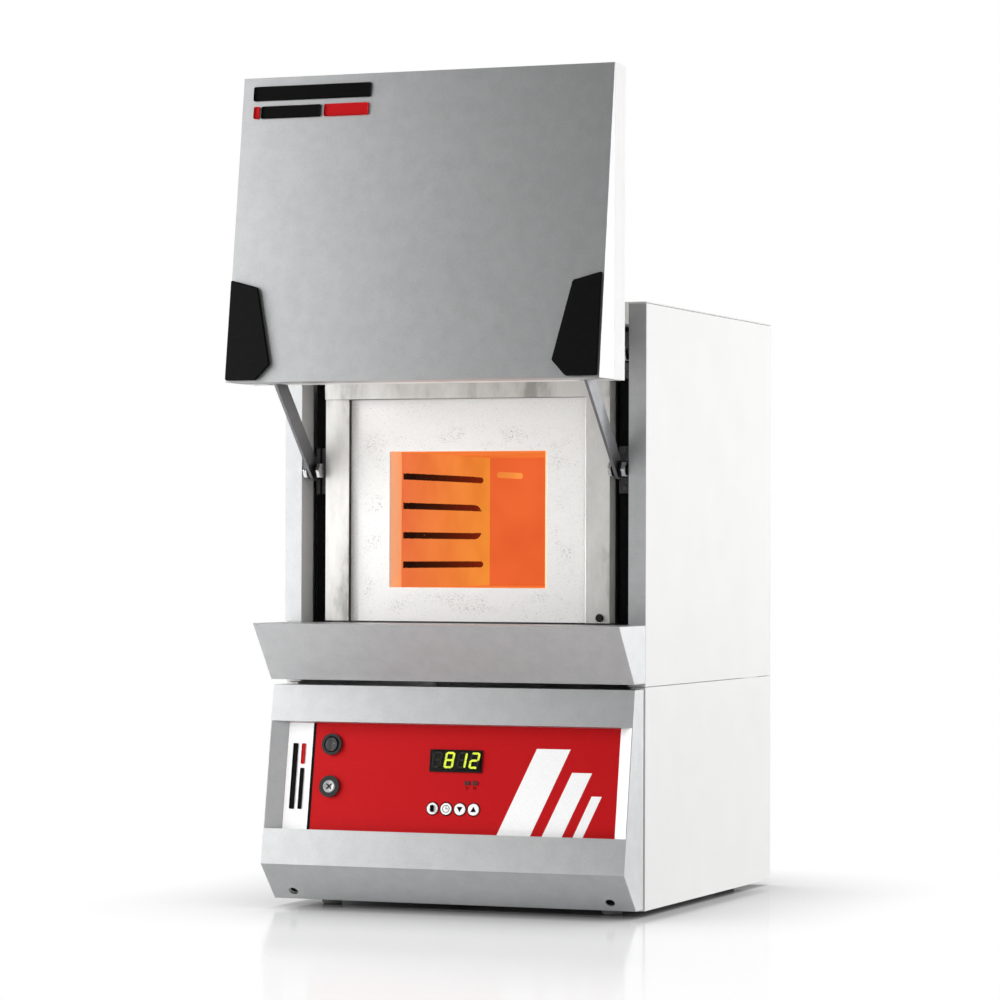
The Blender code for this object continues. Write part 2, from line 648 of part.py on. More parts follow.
DOOR_SPACE = slope_space((DOOR_NOSE_Y, DOOR_Z[0]), (DOOR_CREST_Y, DOOR_Z[1]))
HANDLE = ((188.0, 1.5), (188.0, 98.5), (159.5, 91.0), (142.5, 16.5), (156.5, 1.5))
ARM_SLOT = (150.2, 168.0)         # the arms work in these slots in the door's back


def make_door():
    bottom, top = DOOR_Z
    seam = DOOR_SEAM_Y - GAP
    outline = [(seam, top), (DOOR_CREST_Y, top), (DOOR_NOSE_Y, bottom), (seam, bottom)]
    front = prism("door_front_shell", outline, "YZ", -DOOR_HALF, DOOR_HALF, "silver_enamel")
    skin = inset(outline, SHEET)
    lean = (skin[1][0] - skin[2][0]) / (skin[1][1] - skin[2][1])
    peak = skin[2][1] + (seam + 0.2 - skin[2][0]) / lean
    core = [(seam + 0.2, peak), skin[2], (seam + 5, skin[3][1]), (seam + 5, peak)]
    cut(front, prism("door_hollow", core, "YZ", -DOOR_HALF + SHEET, DOOR_HALF - SHEET))

    rear = pan("door_rear_frame", (-DOOR_HALF, DOOR_SEAM_Y, bottom), (DOOR_HALF, DOOR_BACK_Y, top),
               ("-y",), "white_enamel")
    for label, side in SIDES:
        low, high = span(side, *ARM_SLOT)
        cut(rear, block(f"arm_slot_{label}", (low, DOOR_SEAM_Y + 1, bottom - 5), (high, -60, top - 18)))
    x, z = DOOR_SWITCH
    stud_z = z + ARM_REACH[1] + 130.5
    join(rear, rod("interlock_stud", (x, DOOR_BACK_Y - 1, stud_z), (x, DOOR_BACK_Y + 10.6, stud_z), 3))

    filling = block("door_insulation", (-140, DOOR_SEAM_Y + GAP, bottom + 12),
                    (140, DOOR_BACK_Y - SHEET - GAP, top - 12), "fibre_board")
    plug = block("door_plug", (-118, DOOR_BACK_Y + GAP, 505), (118, DOOR_BACK_Y + 18.4, 709),
                 "ceramic_board")
    edge = plug.modifiers.new("edge", "BEVEL")
    edge.width = 2 * MM
    edge.limit_method = "ANGLE"
    pieces = [front, rear, filling, plug]

    for label, side in SIDES:
        low, high = span(side, 146.6, 149.4)
        y, z = door_pin(0)
        bar = block(f"hinge_bar_{label}", (low, -102, bottom + 5),
                    (high, DOOR_BACK_Y - SHEET - GAP, z + PIVOT_RISE + 14), "zinc_steel")
        for level in (0, 1):
            y, z = door_pin(level)
            profile = [(0, 148.4), (6.2, 148.4), (6.2, 156.4), (PIN_R, 156.4), (PIN_R, 160.6),
                       (6.2, 160.6), (6.2, 163.6), (0, 163.6)]
            join(bar, turned(f"stud_{label}_{level}", [(r, -x) for r, x in profile], (0, y, z),
                             (-side, 0, 0), sides=16))
        corners = [(side * x, up) for x, up in HANDLE]
        handle = prism(f"handle_{label}", corners, "XY", GAP, HANDLE_PROUD, "black_plastic",
                       DOOR_SPACE)
        edge = handle.modifiers.new("edge", "BEVEL")
        edge.width = 1.2 * MM
        edge.limit_method = "ANGLE"
        pieces += [bar, handle]
    carry("door_axis", (0, *door_pin(0)), pieces)


make_base()
make_side_panels()
make_top_cover()
make_rear()
make_lip()
make_fascia()
make_control_panel()
make_power_parts()
make_frame()
make_door_switch()
make_chamber()
make_thermocouple()
make_elements()
make_arms()
make_hinge_posts()
make_door()
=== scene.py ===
# %% [markdown]
# # A bench chamber furnace, finished
#
# The solids of the furnace come ready-made from the frame: folded steel, ceramic
# boards, arms and pins, all at their real size. This notebook gives them their real
# finishes and adds what a solid model leaves out: coiled heating wire, lit digits,
# key marks, screws, printed overlays, and the glow of a hot chamber.

# %% Load the frame
import json
import math

import bmesh
import bpy
from mathutils import Matrix, Vector, noise


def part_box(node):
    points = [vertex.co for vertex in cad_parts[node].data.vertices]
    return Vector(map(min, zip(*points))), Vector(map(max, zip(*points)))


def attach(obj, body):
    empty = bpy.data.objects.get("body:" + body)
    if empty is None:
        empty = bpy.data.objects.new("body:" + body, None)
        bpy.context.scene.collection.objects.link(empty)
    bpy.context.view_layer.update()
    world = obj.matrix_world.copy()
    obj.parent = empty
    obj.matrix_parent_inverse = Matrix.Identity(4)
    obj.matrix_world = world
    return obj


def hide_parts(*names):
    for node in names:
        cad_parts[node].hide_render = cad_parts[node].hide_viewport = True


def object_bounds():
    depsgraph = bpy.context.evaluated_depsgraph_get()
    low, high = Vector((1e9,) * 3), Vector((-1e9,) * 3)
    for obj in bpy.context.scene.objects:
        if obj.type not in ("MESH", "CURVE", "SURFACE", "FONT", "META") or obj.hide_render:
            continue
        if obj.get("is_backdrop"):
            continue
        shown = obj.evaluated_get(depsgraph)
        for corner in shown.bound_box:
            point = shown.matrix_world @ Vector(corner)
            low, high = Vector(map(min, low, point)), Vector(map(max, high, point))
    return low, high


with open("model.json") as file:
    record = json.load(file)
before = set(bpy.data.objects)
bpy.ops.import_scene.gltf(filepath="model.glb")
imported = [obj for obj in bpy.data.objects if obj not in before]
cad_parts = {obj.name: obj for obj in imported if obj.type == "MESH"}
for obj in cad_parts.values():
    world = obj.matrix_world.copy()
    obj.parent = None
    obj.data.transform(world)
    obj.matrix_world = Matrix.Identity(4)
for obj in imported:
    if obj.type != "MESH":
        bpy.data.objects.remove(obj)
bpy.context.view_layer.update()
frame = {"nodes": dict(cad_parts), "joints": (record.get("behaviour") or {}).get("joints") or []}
joints = {joint["name"]: joint for joint in frame["joints"]}
nodes = frame["nodes"]
MM = 0.001

# %% [markdown]
# ## The axes that sloped pieces are made on
#
# The control panel and the door's skin both lean. The panel's lean is read from two
# joints: the rocker tilts about the line up the panel, and a key is pressed straight
# into it. The door's skin leans from the door's nose to its crest. Work is done flat,
# on x across, y up the slope and z out of it, and a matrix then stands it in place.

# %% Stand-in axes for the panel and the door's skin
def lean_space(foot, up, out):
    """The matrix from flat work to a sloped sheet through the point foot."""
    turn = Matrix((Vector((1, 0, 0)), up, out)).transposed().to_4x4()
    return Matrix.Translation(foot) @ turn


panel_up = Vector(joints["rocker_tilt"]["axis"]).normalized()
panel_out = -Vector(joints["key_page_press"]["axis"]).normalized()
rocker_pivot = Vector(joints["rocker_tilt"]["pos_m"])
ROCKER_DEPTH = 2.0 * MM                  # the rocker's axle lies this far under the panel
panel_foot = rocker_pivot + panel_out * ROCKER_DEPTH
panel_foot.x = 0
PANEL = lean_space(panel_foot, panel_up, panel_out)

skin_low, skin_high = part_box("door_front_shell")
CREST = 1.3 * MM                         # the skin's upper edge, in front of the seam
skin_foot = Vector((0, skin_low.y, skin_low.z))
skin_top = Vector((0, skin_high.y - CREST, skin_high.z))
skin_up = (skin_top - skin_foot).normalized()
skin_out = Vector((1, 0, 0)).cross(skin_up)
SKIN = lean_space(skin_foot, skin_up, skin_out)
skin_length = (skin_top - skin_foot).length


def on_panel(node_name):
    """The middle of a node, in the panel's flat coordinates."""
    low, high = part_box(node_name)
    return PANEL.inverted() @ ((low + high) / 2)


print("panel leans back", round(math.degrees(math.atan2(panel_up.y, panel_up.z)), 1), "degrees")

# %% [markdown]
# ## The camera
#
# Small machines are best shown from well back with a long lens, so
# that upright edges stay nearly parallel. The camera stands to the right of the
# furnace, a little above its middle, and looks almost level.

# %% Camera
CAMERA_PLACE = (1.390878, -3.59855, 0.344893)
CAMERA_YAW, CAMERA_PITCH, CAMERA_ROLL = 21.329, 0.785, 0.188      # degrees
camera_data = bpy.data.cameras.new("camera")
camera_data.lens = 139.12
camera_data.sensor_width = 36.0
camera = bpy.data.objects.new("camera", camera_data)
bpy.context.scene.collection.objects.link(camera)
camera.matrix_world = (
    Matrix.Translation(CAMERA_PLACE)
    @ Matrix.Rotation(math.radians(CAMERA_YAW), 4, "Z")
    @ Matrix.Rotation(math.radians(90 + CAMERA_PITCH), 4, "X")
    @ Matrix.Rotation(math.radians(CAMERA_ROLL), 4, "Z")
)
bpy.context.scene.camera = camera
print("camera stands", round(math.hypot(*CAMERA_PLACE[:2]), 2), "m from the middle")

# %% [markdown]
# ## Small tools for the bench
#
# `settle` ends every new piece in the same way: it is stood in place, its place is
# written into its mesh, and it is named, painted and tied to the body it moves with.
# `only` makes one object the selected and active one, since an operator acts on
# everything that is selected and the frame leaves its own nodes selected.

# %% Bench tools
def only(*pieces):
    bpy.ops.object.select_all(action="DESELECT")
    for piece in pieces:
        piece.select_set(True)
    bpy.context.view_layer.objects.active = pieces[0]


def settle(piece, name, body, material, space=Matrix.Identity(4)):
    """Stand a piece in place, with its place in its mesh, and tie it to a body."""
    piece.matrix_world = space @ piece.matrix_basis
    only(piece)
    bpy.ops.object.transform_apply(location=True, rotation=True, scale=True)
    piece.name = name
    piece.data.name = name
    piece.data.materials.clear()
    piece.data.materials.append(material)
    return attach(piece, body)


def apply_modifier(piece, kind, **settings):
    only(piece)
    modifier = piece.modifiers.new(kind.lower(), kind)
    for key, value in settings.items():
        setattr(modifier, key, value)
    bpy.ops.object.modifier_apply(modifier=modifier.name)


def edit(piece, chosen=None, kind="faces"):
    """Open a piece in edit mode with only the chosen faces or edges selected."""
    only(piece)
    bpy.ops.object.mode_set(mode="EDIT")
    bpy.ops.mesh.select_mode(type={"faces": "FACE", "edges": "EDGE", "verts": "VERT"}[kind])
    bpy.ops.mesh.select_all(action="SELECT" if chosen is None else "DESELECT")
    if chosen is None:
        return
    shape = bmesh.from_edit_mesh(piece.data)
    for part in getattr(shape, kind):
        if chosen(part):
            part.select = True
    shape.select_flush(True)
    bmesh.update_edit_mesh(piece.data)


def done():
    bpy.ops.object.mode_set(mode="OBJECT")


def facing_up(face):
    return face.normal.z > 0.99


def copy_of(piece, name):
    twin = piece.copy()
    twin.data = piece.data.copy()
    twin.name = name
    bpy.context.scene.collection.objects.link(twin)
    return twin


def round_off(piece, angle=35):
    only(piece)
    bpy.ops.object.shade_smooth_by_angle(angle=math.radians(angle))


def climb(edge):
    """How far an edge goes up or down."""
    return abs((edge.verts[0].co - edge.verts[1].co).z)


def plate(width, height, thickness, middle=(0, 0), lift=0.0, corner=0.0):
    """A flat plate with rounded corners, lying at lift, sizes in mm."""
    place = (middle[0] * MM, middle[1] * MM, (lift + thickness / 2) * MM)
    bpy.ops.mesh.primitive_cube_add(size=1, location=place)
    piece = bpy.context.object
    piece.scale = (width * MM, height * MM, thickness * MM)
    bpy.ops.object.transform_apply(location=False, rotation=False, scale=True)
    if corner:
        edit(piece, lambda edge: climb(edge) > 0.5 * thickness * MM, "edges")
        bpy.ops.mesh.bevel(offset=corner * MM, segments=5)
        done()
    return piece


def drum(radius, low, high, middle=(0, 0), sides=32, rim=0.0):
    """A round piece standing from low to high with its top edge rounded, in mm."""
    place = (middle[0] * MM, middle[1] * MM, (low + high) / 2 * MM)
    bpy.ops.mesh.primitive_cylinder_add(vertices=sides, radius=radius * MM,
                                        depth=(high - low) * MM, location=place)
    piece = bpy.context.object
    if rim:
        edit(piece, lambda edge: all(v.co.z > 0 for v in edge.verts), "edges")
        bpy.ops.mesh.bevel(offset=rim * MM, segments=3)
        done()
    return piece


def merged(pieces):
    """Several solids kept as one object."""
    only(*pieces)
    if len(pieces) > 1:
        bpy.ops.object.join()
    return bpy.context.object


print("tools ready: plates, drums, joins and the edit-mode opener")


# %% [markdown]
# ## Materials
#
# Colours are picked as sRGB hex values, and a shader wants linear light, so one
# function turns the one into the other. `node` adds a shader node with its settings
# and its links. Every pattern is set by a size in millimetres: a noise with scale s
# has features about 1 / s metres across.

# %% Colour and node helpers
def linear(code, alpha=1.0):
    """An sRGB hex colour as linear RGBA."""
    parts = [int(code[i:i + 2], 16) / 255 for i in (1, 3, 5)]
    light = [p / 12.92 if p <= 0.04045 else ((p + 0.055) / 1.055) ** 2.4 for p in parts]
    return (*light, alpha)


def node(tree, kind, inputs=None, **settings):
    made = tree.nodes.new(kind)
    for key, value in settings.items():
        setattr(made, key, value)
    for key, value in (inputs or {}).items():
        if isinstance(value, bpy.types.NodeSocket):
            tree.links.new(value, made.inputs[key])
        else:
            made.inputs[key].default_value = value
    return made


def new_material(name, **shader_values):
    """A material, its tree, its Principled shader, and its Object coordinates."""
    material = bpy.data.materials.new(name)
    material.use_nodes = True
    tree = material.node_tree
    shader = tree.nodes["Principled BSDF"]
    for key, value in shader_values.items():
        shader.inputs[key.replace("_", " ").title().replace("Ior", "IOR")].default_value = value
    place = node(tree, "ShaderNodeTexCoord").outputs["Object"]
    return material, tree, shader, place


def grain(tree, place, size, detail=3.0, rough=0.5):
    """A noise whose features are size mm across."""
    return node(tree, "ShaderNodeTexNoise", {"Vector": place, "Scale": 1 / (size * MM),
                                             "Detail": detail, "Roughness": rough}).outputs["Fac"]


def ramp(tree, factor, *stops):
    """A colour ramp with (place, hex) stops."""
    made = node(tree, "ShaderNodeValToRGB", {"Fac": factor})
    elements = made.color_ramp.elements
    while len(elements) < len(stops):
        elements.new(0.5)
    for element, (position, code) in zip(elements, stops):
        element.position = position
        element.color = linear(code)
    return made.outputs["Color"]


def bump(tree, shader, height, depth, strength=1.0):
    """Let a height pattern, depth mm from low to high, tilt the surface."""
    made = node(tree, "ShaderNodeBump", {"Height": height, "Distance": depth * MM,
                                         "Strength": strength})
    tree.links.new(made.outputs["Normal"], shader.inputs["Normal"])


def spread(tree, factor, low, high):
    """The factor's 0.3 to 0.7 stretched to low to high."""
    return node(tree, "ShaderNodeMapRange", {"Value": factor, "From Min": 0.3, "From Max": 0.7,
                                             "To Min": low, "To Max": high}).outputs["Result"]


def tinted(tree, colour, tint):
    """One colour seen through another."""
    return node(tree, "ShaderNodeMix", {0: 1.0, 6: colour, 7: tint}, data_type="RGBA",
                blend_type="MULTIPLY").outputs[2]


print("mid grey #808080 is", round(linear("#808080")[0], 3), "in linear light")


# %% [markdown]
# ### Powder coat, white and silver
#
# The case is sheet steel with baked powder coat. Powder melts into a skin with a faint
# orange peel, about 2 mm from crest to crest, so a real panel never mirrors cleanly.
# The silver coat has fine aluminium flake in it, which gives a grain that is just
# visible and a metallic sheen. A flat colour would look like plastic, so both have
# the peel as bump, and the silver has the flake as colour and gloss.

# %% Powder coats
def white_coat():
    material, tree, shader, place = new_material("white powder coat", metallic=0.0, roughness=0.38,
                                                 coat_weight=0.15, coat_roughness=0.25)
    tone = ramp(tree, grain(tree, place, 60, 2), (0.3, "#E9E9E8"), (0.7, "#ECECEB"))
    tree.links.new(tone, shader.inputs["Base Color"])
    bump(tree, shader, grain(tree, place, 2.2, 2), 0.02)
    return material


def silver_coat():
    material, tree, shader, place = new_material("silver powder coat", metallic=0.8,
                                                 coat_weight=0.1, coat_roughness=0.4)
    flake = grain(tree, place, 0.9, 4, 0.75)
    cloud = grain(tree, place, 14, 3, 0.5)
    fine = ramp(tree, flake, (0.3, "#AFB0B1"), (0.7, "#C3C4C5"))
    wide = ramp(tree, cloud, (0.3, "#F6F6F6"), (0.7, "#FFFFFF"))
    tree.links.new(tinted(tree, fine, wide), shader.inputs["Base Color"])
    tree.links.new(spread(tree, flake, 0.40, 0.48), shader.inputs["Roughness"])
    bump(tree, shader, grain(tree, place, 1.2, 2), 0.006)
    return material


WHITE = white_coat()          # polyester powder, baked: satin white, faintly pebbled
SILVER = silver_coat()        # the same with aluminium flake: soft grey with a fine sparkle
print("powder coats:", WHITE.name, "and", SILVER.name)

# %% [markdown]
# ### Metals of the frame and the linkage
#
# The frame round the mouth is aluminised sheet, which the heat has clouded. The arms
# and pins are zinc plated steel, drawn along their length. A metal's colour is its
# reflection, so these have metallic 1 and their wear is mostly in the roughness.

# %% Metals
def aluminised_sheet():
    material, tree, shader, place = new_material("aluminised sheet", metallic=0.55)
    smear = node(tree, "ShaderNodeMapping", {"Vector": place, "Scale": (1.0, 1.0, 0.35)})
    stain = grain(tree, smear.outputs["Vector"], 38, 5, 0.62)
    tone = ramp(tree, stain, (0.36, "#9C9B97"), (0.47, "#C6C5C2"), (0.62, "#D6D5D2"))
    tree.links.new(tone, shader.inputs["Base Color"])
    tree.links.new(spread(tree, stain, 0.55, 0.38), shader.inputs["Roughness"])
    bump(tree, shader, grain(tree, place, 3, 3), 0.03)
    return material


def plated_steel(name, code, rough=0.36):
    material, tree, shader, place = new_material(name, metallic=1.0)
    drawn = node(tree, "ShaderNodeMapping", {"Vector": place, "Scale": (1.0, 0.2, 0.2)})
    streak = grain(tree, drawn.outputs["Vector"], 0.8, 4, 0.6)
    cloud = grain(tree, place, 14, 3)
    dark = tuple(0.72 * v for v in linear(code)[:3]) + (1.0,)
    mix = node(tree, "ShaderNodeMix", {0: cloud, 6: dark, 7: linear(code)}, data_type="RGBA")
    tree.links.new(mix.outputs[2], shader.inputs["Base Color"])
    tree.links.new(spread(tree, streak, rough - 0.08, rough + 0.1), shader.inputs["Roughness"])
    bump(tree, shader, streak, 0.01)
    return material


def black_paint():
    material, tree, shader, place = new_material("matt black paint", roughness=0.7,
                                                 specular_ior_level=0.2)
    tone = ramp(tree, grain(tree, place, 8, 3), (0.3, "#020202"), (0.7, "#060606"))
    tree.links.new(tone, shader.inputs["Base Color"])
    bump(tree, shader, grain(tree, place, 1.2, 2), 0.02)
    return material


ALUMINISED = aluminised_sheet()     # hot-dipped sheet, clouded by heat: pale, stained metal
ZINC = plated_steel("zinc plated steel", "#8E8F92")               # drawn bar: grey, streaked
BRIGHT = plated_steel("bright steel screws", "#C9C9CB", 0.28)     # turned, plated: shiny
BLACK_PAINT_AND_GAP_SHADE = black_paint()         # stove paint on folded steel: dead matt black, darkened further as painted shade for the gap behind the arms
print("metals:", ", ".join(m.name for m in (ALUMINISED, ZINC, BRIGHT, BLACK_PAINT_AND_GAP_SHADE)))

# %% [markdown]
# ### Plastics, rubber and print
#
# Moulded handles and bezels are ABS with a spark-eroded grain of about 1 mm, which
# turns gloss into a soft sheen. The overlay on the panel is satin polycarbonate film
# printed on its back: strong colour under a very fine texture.

# %% Plastics
def moulded(name, dark, light, rough, texture, depth, **extra):
    """A moulded or printed finish: two close tones and a fine texture, sizes in mm."""
    material, tree, shader, place = new_material(name, roughness=rough, **extra)
    tone = ramp(tree, grain(tree, place, texture * 4, 3), (0.3, dark), (0.7, light))
    tree.links.new(tone, shader.inputs["Base Color"])
    bump(tree, shader, grain(tree, place, texture, 2), depth)
    return material


# spark-eroded mould: deep black with hardly any shine
HANDLE_ABS = moulded("black grained ABS", "#030303", "#070707", 0.7, 1.1, 0.12,
                     specular_ior_level=0.1)
# polished mould: black with a soft highlight on its curves
BEZEL_ABS = moulded("black bezel ABS", "#161617", "#1E1E1F", 0.34, 0.8, 0.01,
                    specular_ior_level=0.3)
# satin film printed on its back: even, strong red with no mirror in it
RED_FILM = moulded("red overlay film", "#B40F14", "#B91116", 0.5, 0.5, 0.004,
                   specular_ior_level=0.08)
# the same film in white: clean and bright
WHITE_FILM = moulded("white overlay film", "#F0F0F0", "#F7F7F7", 0.42, 0.5, 0.004)
# screen ink under the film: flat black
BLACK_FILM = moulded("black print", "#030303", "#070707", 0.5, 0.5, 0.004,
                     specular_ior_level=0.06)
# embossed film over a dome switch: white, a little softer than the strip
KEY_FILM = moulded("white key cap", "#EDEDEC", "#F6F6F5", 0.45, 0.6, 0.005)
# cast tinted acrylic: nearly black, smooth, so only the digits show
DISPLAY_GLASS = moulded("smoked display window", "#0C0C09", "#12120E", 0.22, 1.5, 0.003,
                        specular_ior_level=0.3)
# screened lacquer on a circuit board: green with a dull gloss
CIRCUIT = moulded("green solder mask", "#12502A", "#17623A", 0.4, 2.0, 0.02)
# moulded polyester case of the relay: dark grey, dull
RELAY_ABS = moulded("relay case", "#1A1A1C", "#232326", 0.5, 1.0, 0.01)
# moulded clear acrylic over an unlit lamp: pale grey, glossy
LENS = moulded("clear lamp lens", "#9FA0A1", "#BCBDBE", 0.2, 2.0, 0.02, coat_weight=0.4)
# moulded soft rubber: grey and dull, so the feet don't catch the light
FOOT_RUBBER = moulded("grey foot rubber", "#7E7E7C", "#8A8A88", 0.7, 0.9, 0.03)
# brushed-on enamel over a folded bracket: dark grey with a slight shine
BRACKET = moulded("grey bracket enamel", "#4A4A4B", "#565657", 0.5, 1.0, 0.02)
print("plastics and rubber: 12 finishes from one recipe")

# %% [markdown]
# ### Ceramic, cold and hot
#
# The collar is a board of ceramic fibre, vacuum formed: off-white, dead matt, with
# specks and small craters where fibres have pulled out. Inside, everything glows. At
# about 800 degrees ceramic radiates orange of its own, brighter where the wall is
# thick with elements, so the glow is emission that changes with depth.

# %% Ceramics
def fibre_board(name, light="#F6F5F3", dark="#ECEAE7"):
    material, tree, shader, place = new_material(name, roughness=0.95)
    tone = ramp(tree, grain(tree, place, 1.6, 5, 0.8), (0.3, dark), (0.6, light))
    speck = ramp(tree, grain(tree, place, 1.3, 2, 0.6), (0.26, "#B2AFAA"), (0.33, "#FFFFFF"))
    tree.links.new(tinted(tree, tone, speck), shader.inputs["Base Color"])
    bump(tree, shader, grain(tree, place, 1.6, 4, 0.75), 0.2)
    return material


def times(tree, first, second, **settings):
    """Where both patterns are present."""
    return node(tree, "ShaderNodeMath", {0: first, 1: second}, operation="MULTIPLY",
                **settings).outputs[0]


def between(tree, value, low, high, soft):
    """1 where a value lies from low to high, 0 outside, with soft edges, in metres."""
    rise = node(tree, "ShaderNodeMapRange", {"Value": value, "From Min": low - soft,
                                             "From Max": low + soft})
    fall = node(tree, "ShaderNodeMapRange", {"Value": value, "From Min": high - soft,
                                             "From Max": high + soft, "To Min": 1.0,
                                             "To Max": 0.0})
    return times(tree, rise.outputs[0], fall.outputs[0])


MOUTH_SIDE, MOUTH_LOW, MOUTH_HIGH = 83.0, 310.0, 445.0      # mm, just outside the mouth


def round_mouth(tree, axes, margins, soft):
    """1 in a box round the mouth, wider by margins (sides, below, above) in mm."""
    beside, below, above = margins
    half = node(tree, "ShaderNodeMath", {0: axes.outputs["X"]}, operation="ABSOLUTE").outputs[0]
    across = between(tree, half, -0.2, (MOUTH_SIDE + beside) * MM, soft * MM)
    upward = between(tree, axes.outputs["Z"], (MOUTH_LOW - below) * MM,
                     (MOUTH_HIGH + above) * MM, soft * MM)
    return times(tree, across, upward)


def collar_board():
    """Fibre board with scuffs round the mouth, and a painted glow that creeps up its flare."""
    material = fibre_board("ceramic collar board")
    tree = material.node_tree
    shader = tree.nodes["Principled BSDF"]
    base = shader.inputs["Base Color"]
    place = node(tree, "ShaderNodeTexCoord").outputs["Object"]
    axes = node(tree, "ShaderNodeSeparateXYZ", {"Vector": place})
    low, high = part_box("chamber_collar")
    mouth = round_mouth(tree, axes, (0, 0, 0), 0.2)
    # painted glow: emission on the flare, growing from the front to the chamber
    depth = node(tree, "ShaderNodeMapRange", {"Value": axes.outputs["Y"],
                                              "From Min": low.y + 0.4 * MM, "From Max": high.y})
    painted_flare_glow = ramp(tree, depth.outputs["Result"], (0.0, "#000000"), (0.06, "#C98A68"),
                (1.0, "#D8752E"))
    lit = node(tree, "ShaderNodeMix", {0: mouth, 6: (0, 0, 0, 1), 7: painted_flare_glow}, data_type="RGBA")
    tree.links.new(lit.outputs[2], shader.inputs["Emission Color"])
    shader.inputs["Emission Strength"].default_value = 0.7
    # the flare itself is tinted a pale orange
    sunk = between(tree, axes.outputs["Y"], low.y + 0.5 * MM, high.y + 5 * MM, 0.2 * MM)
    flare_tint = node(tree, "ShaderNodeMix", {0: times(tree, mouth, sunk), 6: (1, 1, 1, 1),
                                         7: linear("#EAC8A4")}, data_type="RGBA")
    tree.links.new(tinted(tree, base.links[0].from_socket, flare_tint.outputs[2]), base)
    # scuffs: dark flecks in patches, in a belt about 4 to 25 mm outside the mouth
    belt = node(tree, "ShaderNodeMath", {0: round_mouth(tree, axes, (25, 22, 21), 4),
                                         1: round_mouth(tree, axes, (5, 4, 4), 3)},
                operation="SUBTRACT").outputs[0]
    patch = spread(tree, grain(tree, place, 26, 2), -1.0, 1.4)
    fleck = node(tree, "ShaderNodeMapRange", {"Value": grain(tree, place, 1.1, 3, 0.7),
                                              "From Min": 0.44, "From Max": 0.34}).outputs[0]
    dirt = times(tree, times(tree, belt, patch, use_clamp=True), fleck)
    stained = node(tree, "ShaderNodeMix", {0: dirt, 6: base.links[0].from_socket,
                                           7: linear("#8A867F")}, data_type="RGBA")
    tree.links.new(stained.outputs[2], base)
    return material


def hot_ceramic(name, front, back, low_tone, strength=1.0):
    """Glowing ceramic, from its front colour to its back colour along the chamber."""
    material, tree, shader, place = new_material(name, roughness=0.9)
    near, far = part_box("chamber_wall_left")
    axes = node(tree, "ShaderNodeSeparateXYZ", {"Vector": place})
    depth = node(tree, "ShaderNodeMapRange", {"Value": axes.outputs["Y"], "From Min": near.y,
                                              "From Max": far.y})
    glow = ramp(tree, depth.outputs["Result"], (0.0, front), (1.0, back))
    patch = ramp(tree, grain(tree, place, 60, 2), (0.3, low_tone), (0.7, "#FFFFFF"))
    tree.links.new(tinted(tree, glow, patch), shader.inputs["Emission Color"])
    shader.inputs["Emission Strength"].default_value = strength
    shader.inputs["Base Color"].default_value = linear("#5A2A18")
    bump(tree, shader, grain(tree, place, 2.5, 4, 0.7), 0.3)
    return material


# vacuum-formed fibre: chalk white, dead matt, scuffed where the door's plug touches
COLLAR_BOARD = collar_board()
# the same board, drier and creamier
PLUG_BOARD = fibre_board("ceramic plug board", "#E8E4DC", "#D5CFC4")
# trowelled cement: whiter than the board, so the fillings just show
CEMENT = fibre_board("ceramic cement", "#F6F4F0", "#EDE9E2")
# pressed board of the outer jacket: buff
JACKET_BOARD = fibre_board("insulation board", "#DAD5C8", "#C8C2B4")
# fired ceramic at red heat: walls, back, roof, floor and probe differ a little in colour
HOT_WALL = hot_ceramic("glowing side wall", "#E47443", "#EA9238", "#F0E2DA")
HOT_BACK = hot_ceramic("glowing rear wall", "#E66A32", "#E46634", "#F0E4DE")
HOT_ROOF = hot_ceramic("glowing roof", "#EC7E38", "#E87634", "#EEE0D8")
HOT_HEARTH = hot_ceramic("glowing hearth", "#F08A3C", "#E86A30", "#EEE0D8")
HOT_SHEATH = hot_ceramic("glowing sheath", "#F6A350", "#F49A48", "#E2C4B0")
print("ceramics: 4 cold boards and 5 glowing ones")

# %% [markdown]
# ## Dress the solids that stay
#
# Most nodes have the right shape already. Each takes its finish, and the sheet metal
# gets a small bevel along its edges, because a folded or sheared edge always catches
# a line of light. The solids arrive as loose triangles, so a Weld comes first.

# %% Finishes of the solids
DRESS = {
    WHITE: ("lower_side_left", "lower_side_right", "upper_side_left", "upper_side_right",
            "top_cover", "upper_rear_panel", "lower_rear_panel", "door_rear_frame"),
    SILVER: ("lip_panel", "fascia", "door_front_shell"),
    ALUMINISED: ("frame_leg_left", "frame_leg_right", "frame_top_bar"),
    ZINC: ("base_chassis", "divider_plate", "chamber_casing", "chamber_stand", "lower_arm_left",
           "lower_arm_right", "upper_arm_left", "upper_arm_right", "hinge_bar_left",
           "hinge_bar_right"),
    # the hinge posts' black is partly paint and partly painted shade of the deep gap they stand in
    BLACK_PAINT_AND_GAP_SHADE: ("hinge_post_left", "hinge_post_right"),
    HANDLE_ABS: ("handle_left", "handle_right"),
    BEZEL_ABS: ("switch_bezel", "lamp_bezel", "cable_gland", "door_switch_body",
                "door_switch_plunger"),
    RELAY_ABS: ("power_relay",),
    RED_FILM: ("control_panel",),
    DISPLAY_GLASS: ("display_module",),
    KEY_FILM: ("key_page", "key_clock", "key_down", "key_up"),
    CIRCUIT: ("controller_board",),
    PLUG_BOARD: ("door_plug",),
    HOT_SHEATH: ("thermocouple",),
    JACKET_BOARD: ("insulation_jacket", "door_insulation"),
    COLLAR_BOARD: ("chamber_collar",),
    HOT_WALL: ("chamber_wall_left", "chamber_wall_right"),
    HOT_BACK: ("chamber_rear_wall",),
    HOT_ROOF: ("chamber_roof",),
    HOT_HEARTH: ("chamber_hearth",),
    FOOT_RUBBER: ("foot_front_left", "foot_front_right", "foot_rear_left", "foot_rear_right"),
}
for material, names in DRESS.items():
    for name in names:
        nodes[name].data.materials.clear()
        nodes[name].data.materials.append(material)


